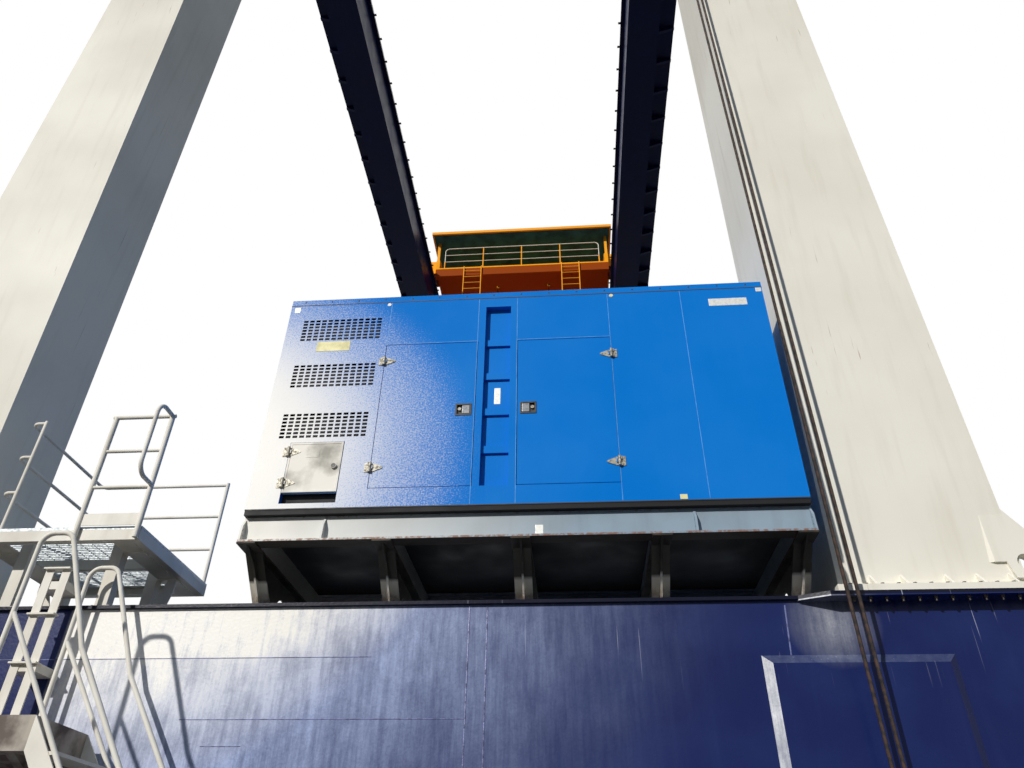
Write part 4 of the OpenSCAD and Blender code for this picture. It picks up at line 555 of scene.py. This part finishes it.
# Roof trim: a black rubber gasket under its edge, and dark rivets every 0.24 m.
rubber_seal = coat("black_rubber_seal", "0b0c0f", "202226", 0.6, patch=(60, 0.4, 0.7, 1), streak=0,
                   grain=(4, 0.1), swell=0)
gasket, proud, under_z = bmesh.new(), 0.0015, roof_z - 0.008
add_box(gasket, (left_x - proud, front - proud, under_z), (right_x + proud, front + 0.01, roof_z))
add_box(gasket, (left_x - proud, front + 0.01, under_z), (left_x + 0.01, back_y, roof_z))
add_box(gasket, (right_x - 0.01, front + 0.01, under_z), (right_x + proud, back_y, roof_z))
add_box(gasket, (left_x + 0.002, front - proud, base_z - 0.004),
        (right_x - 0.002, front + 0.01, base_z + 0.004))
piece("roof_gasket", gasket, rubber_seal)
rivet, rivet_pitch = bmesh.new(), 0.24
bmesh.ops.create_uvsphere(rivet, u_segments=8, v_segments=4, radius=0.008,
                          matrix=Matrix.Diagonal((1, 0.45, 1, 1)))
places = [(Vector((left_x + rivet_pitch * (k + 0.5), front, roof_z + 0.03)), (0, 0, 0)) for k in range(17)]
set_out("roof_rivets", rivet, places, black_steel)

# Sealant in the panel joints: a bead 4 mm wide, paler than the coat.
sealant = coat("pale_blue_sealant", "5b9fe0", "3f7fc4", 0.5, patch=(60, 0.4, 0.7, 1), streak=0,
               grain=(5, 0.1), swell=0)
joints, half, low_z, top_z, head_z = bmesh.new(), 0.002, 4.1, 6.07, 5.608
for x, z in ((1.915, low_z), (2.531, low_z), (0.04, head_z + half), (0.81, low_z), (1.142, low_z)):
    add_box(joints, (x - half, front - 0.001, z), (x + half, front + 0.001, top_z))
for x0, x1 in ((0.04, 0.81), (1.142, 1.915)):
    add_box(joints, (x0, front - 0.001, head_z - half), (x1, front + 0.001, head_z + half))
piece("panel_joints", joints, sealant)

# Bare plates and caps: a blank name plate, a blank plate under the top grille, small
# corner plates, and two plastic caps over lifting points.
plates = bmesh.new()
for x0, x1, z0, z1 in ((2.762, 3.079, 5.89, 5.968), (-0.829, -0.782, 6.0, 6.055),
                       (3.17, 3.218, 6.03, 6.074)):
    add_box(plates, (x0, front - 0.002, z0), (x1, front + 0.001, z1), 0.001)
piece("blank_plates", plates, foil)
# Pale yellow enamelled sheet, faded.
pale_yellow = coat("faded_yellow_enamel", "e3dc9f", "c3bc8c", 0.5, patch=(60, 0.4, 0.7, 0.7), streak=0,
                   grain=(5, 0.04), swell=0)
plates = bmesh.new()
add_box(plates, (-0.568, front - 0.002, 5.558), (-0.28, front + 0.001, 5.661), 0.001)
add_box(plates, (2.322, front - 0.002, 4.1), (2.374, front + 0.001, 4.138), 0.001)
piece("yellow_plates", plates, pale_yellow)
# White and yellowish moulded polyethylene.
for name, x, z, code in (("white_cap", 0.016, 6.05, "eef0f2"), ("yellow_cap", 1.95, 6.052, "e6d7a0")):
    plastic = coat(name + "_polyethylene", code, "c9c7bd", 0.45, patch=(20, 0.4, 0.7, 0.6), streak=0,
                   grain=(3, 0.04), swell=0)
    cap = bmesh.new()
    add_bar(cap, (x, front + 0.001, z), (x, front - 0.004, z), 0.019, 20, 0.016)
    piece(name, cap, plastic)

# Painted shade inside the openings: a black sheet behind each grille and behind the slot
# under the hatch, held 50 mm back in the wall, stands for the dark interior.
shade_sheet, shade_sheet_y, shade_sheet_t = bmesh.new(), front + 0.052, 0.003
grille_x0, grille_x1, grille_h = -0.725, -0.034, 0.225
for z in (4.705, 5.192, 5.679):
    add_box(shade_sheet, (grille_x0, shade_sheet_y, z), (grille_x1, shade_sheet_y + shade_sheet_t, z + grille_h))
add_box(shade_sheet, (-0.619, shade_sheet_y, 4.137), (-0.189, shade_sheet_y + shade_sheet_t, 4.662))
piece("black_gauze", shade_sheet, bitumen_and_shade)

# Climbing recess: four rungs of blue flat bar, 22 mm thick, that end against a blue
# sheet close behind them; a blank white plate is riveted to the sheet.
rungs_low, rungs_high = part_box("gen_rungs")
sheet_y = rungs_high[1] - 0.001
rungs, rung_t, rung_h, rung_pitch = bmesh.new(), 0.022, 0.065, 0.344
for k in range(4):
    z = rungs_low[2] + rung_pitch * k
    add_box(rungs, (rungs_low[0], rungs_high[1] - rung_t, z), (rungs_high[0], rungs_high[1], z + rung_h),
            0.002)
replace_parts(piece("recess_rungs", rungs, blue), "gen_rungs")
sheet = bmesh.new()
add_box(sheet, (rungs_low[0] + 0.001, sheet_y, 4.249), (rungs_high[0] - 0.001, sheet_y + 0.003, 5.976))
piece("recess_back_sheet", sheet, blue)
plate = bmesh.new()
add_box(plate, (0.96, sheet_y - 0.0025, 4.998), (1.01, sheet_y + 0.0005, 5.153), 0.001)
piece("recess_plate", plate, foil)


# Doors: each hangs on two strap hinges of zinc-plated steel and closes with a black
# pan latch that holds a grey paddle and a round lock.
black_nylon = coat("black_nylon", "0f1013", "26272a", 0.45, patch=(40, 0.4, 0.7, 1), streak=0,
                   grain=(3, 0.06), swell=0)
grey_zamak = coat("grey_die_cast_zinc", "83868a", "5c5f63", 0.4, metallic=0.5, patch=(20, 0.4, 0.7, 1),
                  streak=0, grain=(3, 0.04), swell=0)
# What covers a solid of the CAD stands 0.6 mm over it.
pin_y, strap_y, over = front - 0.016, front - 0.005, 0.0006
dress(plated, "gen_hinges")
strap_shape = [(0.009, -0.034), (0.023, -0.034), (0.08, -0.011), (0.092, -0.004),
               (0.092, 0.004), (0.08, 0.011), (0.023, 0.034), (0.009, 0.034)]
leaf_screws = []
for name, hinge_x, hinge_zs, toward in (("door_left", 0.0395, (4.421, 5.425), 1),
                                        ("door_right", 1.9135, (4.421, 5.425), -1),
                                        ("hatch", -0.6165, (4.307, 4.577), 1)):
    straps = bmesh.new()
    for z in hinge_zs:
        ring = [[straps.verts.new((hinge_x + toward * (u + (over if u > 0.05 else -over)), y, z + v * 1.02))
                 for u, v in strap_shape] for y in (strap_y - over, front)]
        straps.faces.new(ring[0])
        straps.faces.new(ring[1][::-1])
        for k in range(len(strap_shape)):
            n = (k + 1) % len(strap_shape)
            straps.faces.new((ring[0][n], ring[0][k], ring[1][k], ring[1][n]))
        add_bar(straps, (hinge_x, pin_y, z - 0.0134), (hinge_x, pin_y, z + 0.0134), 0.0116, 20)
        for u, v in ((0.022, 0.017), (0.022, -0.017), (0.05, 0), (0.074, 0)):
            add_bar(straps, (hinge_x + toward * u, strap_y, z + v),
                    (hinge_x + toward * u, strap_y - 0.003, z + v), 0.0042, 10, 0.003)
        leaf_screws += [(Vector((hinge_x - toward * u, strap_y, z + v)), (0, 0, 0))
                        for u in (0.016, 0.034) for v in (-0.024, 0, 0.024)]
    bmesh.ops.recalc_face_normals(straps, faces=straps.faces)
    piece(name + "_straps", straps, plated, name)
screw = bmesh.new()
add_bar(screw, (0, 0.001, 0), (0, -0.003, 0), 0.0042, 10, 0.003)
set_out("hinge_leaf_screws", screw, leaf_screws, plated)

latch_z, latch_w, latch_h, rim = 4.923, 0.128, 0.109, 0.012
for name, latch_x, side in (("door_left", 0.724, -1), ("door_right", 1.236, 1)):
    pan = bmesh.new()
    w, h, y0, y1 = latch_w / 2 + over, latch_h / 2 + over, front - 0.0046, front + 0.0155
    iw, ih = latch_w / 2 - rim - over, latch_h / 2 - rim - over
    for lo, hi in (((-w, -h), (w, -ih)), ((-w, ih), (w, h)), ((-w, -ih), (-iw, ih)), ((iw, -ih), (w, ih))):
        add_box(pan, (latch_x + lo[0], y0, latch_z + lo[1]), (latch_x + hi[0], y1, latch_z + hi[1]), 0.0008)
    add_box(pan, (latch_x - iw, y1 - 0.001, latch_z - ih), (latch_x + iw, y1, latch_z + ih))
    piece(name + "_latch_pan", pan, black_nylon, name)
    paddle = bmesh.new()
    mid = latch_x - side * 0.02
    add_box(paddle, (mid - 0.0288, front - 0.0014, latch_z - 0.0368), (mid + 0.0288, y1, latch_z + 0.0408),
            0.003)
    piece(name + "_latch_paddle", paddle, grey_zamak, name)
    lock = bmesh.new()
    lx = latch_x + side * 0.032
    add_bar(lock, (lx, y1, latch_z + 0.008), (lx, front + 0.0005, latch_z + 0.008), 0.0148, 24, 0.0138)
    add_box(lock, (lx - 0.0012, front - 0.0003, latch_z + 0.001),
            (lx + 0.0012, front + 0.002, latch_z + 0.015))
    piece(name + "_lock", lock, plated, name)

# Service hatch: bare rolled sheet, brushed along its height, in a bright folded rim.
bare_sheet = coat("bare_rolled_sheet", "f0ece2", "9c9990", 0.6, specular=0.15,
                  patch=(240, 0.5, 0.72, 0.9), streak=0.2, grain=(5, 0.05), swell=1.5)
dress(bare_sheet, "hatch")
x0, x1, z0, z1, hem = -0.614, -0.194, 4.227, 4.657, 0.016
edging = bmesh.new()
for low, high in (((x0, z0), (x0 + hem, z1)), ((x1 - hem, z0), (x1, z1)),
                  ((x0 + hem, z1 - hem), (x1 - hem, z1)), ((x0 + hem, z0), (x1 - hem, z0 + hem))):
    add_box(edging, (low[0], front - 0.0045, low[1]), (high[0], front - 0.001, high[1]), 0.001)
add_box(edging, (-0.478, front - 0.0035, 4.524), (-0.372, front - 0.001, 4.591), 0.001)
piece("hatch_edging", edging, bare_sheet, "hatch")
knob = bmesh.new()
add_bar(knob, (-0.244, front - 0.0165, 4.442), (-0.244, front - 0.0195, 4.442), 0.019, 20, 0.016)
piece("hatch_knob_face", knob, black_nylon, "hatch")


# Access platform: a welded frame of folded channel on four posts, white enamel, with
# galvanised bar grating and railings of bent tube. A stair, a landing and a ladder of
# the same enamelled steel lead up to it.
dress(white_enamel, "platform_frame", "platform_posts", "platform_rails", "ladder", "stair",
      "stair_rails")
# The same enamel where boots have worn it down to brown rust.
stained = coat("rust_stained_enamel", "a1978a", "3a2a1f", 0.55, patch=(240, 0.4, 0.56, 0.95), streak=0.5,
               grain=(10, 0.2), swell=1)
dress(stained, "landing")
# Hot-dip galvanised steel: dull, with a spangle of 20 mm.
zinc = coat("galvanised_steel", "c6cdd0", "a3abae", 0.5, metallic=0.15, patch=(20, 0.4, 0.65, 1), streak=0,
            grain=(20, 0.08), swell=0)
floor_low, floor_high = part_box("platform_floor")
bar_pitch, bar_t, rod_pitch, edge_t = 0.0333, 0.0035, 0.1, 0.006
size = Vector(floor_high) - Vector(floor_low)
bar = bmesh.new()
add_box(bar, (edge_t, -bar_t / 2, 0), (size.x - edge_t, bar_t / 2, size.z - 0.001))
places = [(Vector((floor_low[0], floor_low[1] + edge_t + bar_pitch * (k + 0.5), floor_low[2])), (0, 0, 0))
          for k in range(int((size.y - 2 * edge_t) / bar_pitch))]
grating = set_out("platform_grating", bar, places, zinc)
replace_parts(grating, "platform_floor")
cross = bmesh.new()
add_bar(cross, (0, edge_t, size.z - 0.006), (0, size.y - edge_t, size.z - 0.006), 0.0035, 6)
places = [(Vector((floor_low[0] + rod_pitch * (k + 0.6), floor_low[1], floor_low[2])), (0, 0, 0))
          for k in range(int(size.x / rod_pitch))]
set_out("grating_cross_rods", cross, places, zinc)
band = bmesh.new()
for low, high in (((0, 0), (size.x, edge_t)), ((0, size.y - edge_t), (size.x, size.y)),
                  ((0, edge_t), (edge_t, size.y - edge_t)),
                  ((size.x - edge_t, edge_t), (size.x, size.y - edge_t))):
    add_box(band, (floor_low[0] + low[0], floor_low[1] + low[1], floor_low[2]),
            (floor_low[0] + high[0], floor_low[1] + high[1], floor_high[2]), 0.001)
piece("grating_band", band, zinc)


# Trolley: a frame of box beams on four wheels, orange enamel, with painted shade in a
# burnt orange on the frame's lower faces. A flat roof on six posts covers the hoist.
orange = coat("orange_enamel", "f9a81f", "d9831c", 0.42, specular=0.2, patch=(500, 0.45, 0.75, 0.3),
              streak=0.2, grain=(12, 0.12), swell=2)
shaded_orange = coat("orange_enamel_painted_shade", "f9a81f", "d9831c", 0.5, specular=0.05, patch=(500, 0.45, 0.75, 0.3),
              streak=0.2, grain=(12, 0.12), swell=2)
tree, where = shaded_orange[1], shaded_orange[2]
axes = put(tree, "ShaderNodeSeparateXYZ", {0: where}).outputs
# Painted shade: the frame's lower faces in a deeper, redder orange.
under = put(tree, "ShaderNodeMapRange", {"Value": axes["Z"], "From Min": 22.204, "From Max": 22.201})
lay(shaded_orange, under, "e8560e")
front_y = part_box("trolley_frame")[0][1]
# Painted shadow: the front face below the floor in a dark burnt orange.
face = put(tree, "ShaderNodeMapRange", {
    "Value": axes["Y"], "From Min": front_y + 0.004, "From Max": front_y + 0.002})
lay(shaded_orange, put(tree, "ShaderNodeMath", {0: under, 1: face}, operation="MULTIPLY"), "93400a")
dress(shaded_orange, "trolley_frame")
dress(orange, "trolley_roof", "trolley_posts", "trolley_ladders", "hoist_stands")
dress(white_enamel, "trolley_rails_front")
wheel_red = coat("red_enamel", "a02418", "5b2a20", 0.45, patch=(200, 0.4, 0.7, 0.8), streak=0.2,
                 grain=(10, 0.12), swell=0)
dress(wheel_red, "trolley_wheels")
# Dark blue-green lining under the roof, with a batten over each joint of its six sheets.
green = coat("dark_green_lining", "336c7a", "234850", 0.6, specular=0.12, patch=(400, 0.4, 0.7, 1),
             streak=0, grain=(10, 0.1), swell=3)
roof_low, roof_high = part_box("trolley_roof")
lining, bays, rim, batten = bmesh.new(), 6, 0.07, 0.02
bay = (roof_high[0] - roof_low[0] - 2 * rim) / bays
add_box(lining, (roof_low[0] + rim, roof_low[1] + rim, roof_low[2] - 0.004),
        (roof_high[0] - rim, roof_high[1] - rim, roof_low[2] + 0.002))
for k in range(1, bays):
    x = roof_low[0] + rim + bay * k
    add_box(lining, (x - batten, roof_low[1] + rim, roof_low[2] - 0.008),
            (x + batten, roof_high[1] - rim, roof_low[2] - 0.003), 0.001)
piece("roof_lining", lining, green, "trolley")
# Orange sleeves where the three inner posts of the railing stand.
rail_low, rail_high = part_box("trolley_rails_front")
sleeves, mid_y = bmesh.new(), (rail_low[1] + rail_high[1]) / 2
half_l = (rail_high[0] - rail_low[0]) / 2 - 0.0176
for x in (-half_l, -half_l / 2, 0, half_l / 2, half_l):
    top = rail_low[2] + (0.35 if abs(x) == half_l else 1.03)
    add_bar(sleeves, (x, mid_y, rail_low[2]), (x, mid_y, top), 0.024, 16)
piece("railing_sleeves", sleeves, orange, "trolley")


# Hoist: a grooved rope drum with its gearbox and motor, and sheaves on stands, fixed
# to the trolley's floor. Greased ropes carry the headblock and the spreader below.
grease = coat("greased_steel", "4a4744", "2a2521", 0.4, metallic=0.7, patch=(90, 0.4, 0.7, 1), streak=0,
              grain=(8, 0.1), swell=0)
dress(grease, "hoist_drum", "hoist_sheaves")
drum_low, drum_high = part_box("hoist_drum")
drum_y, drum_z = (drum_low[1] + drum_high[1]) / 2, (drum_low[2] + drum_high[2]) / 2
drum_r, groove_pitch, groove_r, grooves = 0.38, 0.05, 0.012, 22
groove = bmesh.new()
sides, turn_steps = 6, 32
rows = [[groove.verts.new((groove_r * math.cos(b), (drum_r + 0.45 * groove_r * math.sin(b)) * math.sin(a),
                           (drum_r + 0.45 * groove_r * math.sin(b)) * math.cos(a)))
         for b in (k * math.tau / sides for k in range(sides))]
        for a in (k * math.tau / turn_steps for k in range(turn_steps))]
for i in range(turn_steps):
    for k in range(sides):
        n, m = (i + 1) % turn_steps, (k + 1) % sides
        groove.faces.new((rows[i][k], rows[i][m], rows[n][m], rows[n][k]))
bmesh.ops.recalc_face_normals(groove, faces=groove.faces)
places = [(Vector((s * groove_pitch * (k + 1), drum_y, drum_z)), (0, 0, 0))
          for s in (-1, 1) for k in range(grooves)]
set_out("drum_rope_turns", groove, places, rope, "trolley")
dress(rope, "hoist_ropes")
grey_enamel = coat("grey_machine_enamel", "9aa3a8", "6f767a", 0.42, patch=(120, 0.4, 0.7, 0.7), streak=0.2,
                   grain=(8, 0.15), swell=0)
dress(grey_enamel, "hoist_drive")
fin, fins, fin_l = bmesh.new(), 24, 0.56
motor_x, motor_y, motor_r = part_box("hoist_drive")[1][0] - 0.62, drum_y - 0.64, 0.19
for k in range(fins):
    a = (k + 0.5) * math.tau / fins
    out = Vector((0, math.sin(a), math.cos(a)))
    side = Vector((0, math.cos(a), -math.sin(a))) * 0.003
    foot, tip = out * (motor_r - 0.004), out * (motor_r + 0.016)
    ring = [[fin.verts.new(p + Vector((x, motor_y, drum_z))) for p in
             (foot - side, foot + side, tip + side * 0.6, tip - side * 0.6)]
            for x in (motor_x, motor_x + fin_l)]
    fin.faces.new(ring[0])
    fin.faces.new(ring[1][::-1])
    for j in range(4):
        fin.faces.new((ring[0][(j + 1) % 4], ring[0][j], ring[1][j], ring[1][(j + 1) % 4]))
bmesh.ops.recalc_face_normals(fin, faces=fin.faces)
piece("motor_fins", fin, grey_enamel, "trolley")
# Yellow safety enamel of the headblock and spreader, scraped to rust by containers.
yellow = coat("scraped_yellow_enamel", "e9a21b", "8a5a22", 0.45, patch=(260, 0.5, 0.72, 0.8), streak=0.25,
              grain=(10, 0.15), swell=2)
dress(yellow, "headblock", "spreader")


# Operator's cab: a closed body of cream enamelled sheet, hung under the trolley. Its
# panes of grey-tinted laminated glass stand 10 mm back in their frames, and a grab
# rail stands beside the back door.
dress(cream, "cab")
glass = coat("tinted_laminated_glass", "0f1a1d", "1d2a2d", 0.08, patch=(600, 0.45, 0.7, 0.5),
             streak=0, grain=(900, 0.4), swell=0)
dress(glass, "cab_glass")
glass_low, glass_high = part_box("cab_glass")
rail, stay_z, past = bmesh.new(), (20.3, 19.9), 0.04
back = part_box("cab")[1][1] - 0.04
grab_x = (glass_low[0] + glass_high[0]) / 2 + 0.31
for z in stay_z:
    add_bar(rail, (grab_x, back + 0.025, z), (grab_x, back + 0.038, z), 0.012, 12)
add_bar(rail, (grab_x, back + 0.036, stay_z[1] - past), (grab_x, back + 0.036, stay_z[0] + past), 0.01, 12)
piece("cab_grab_rail", rail, plated, "trolley")
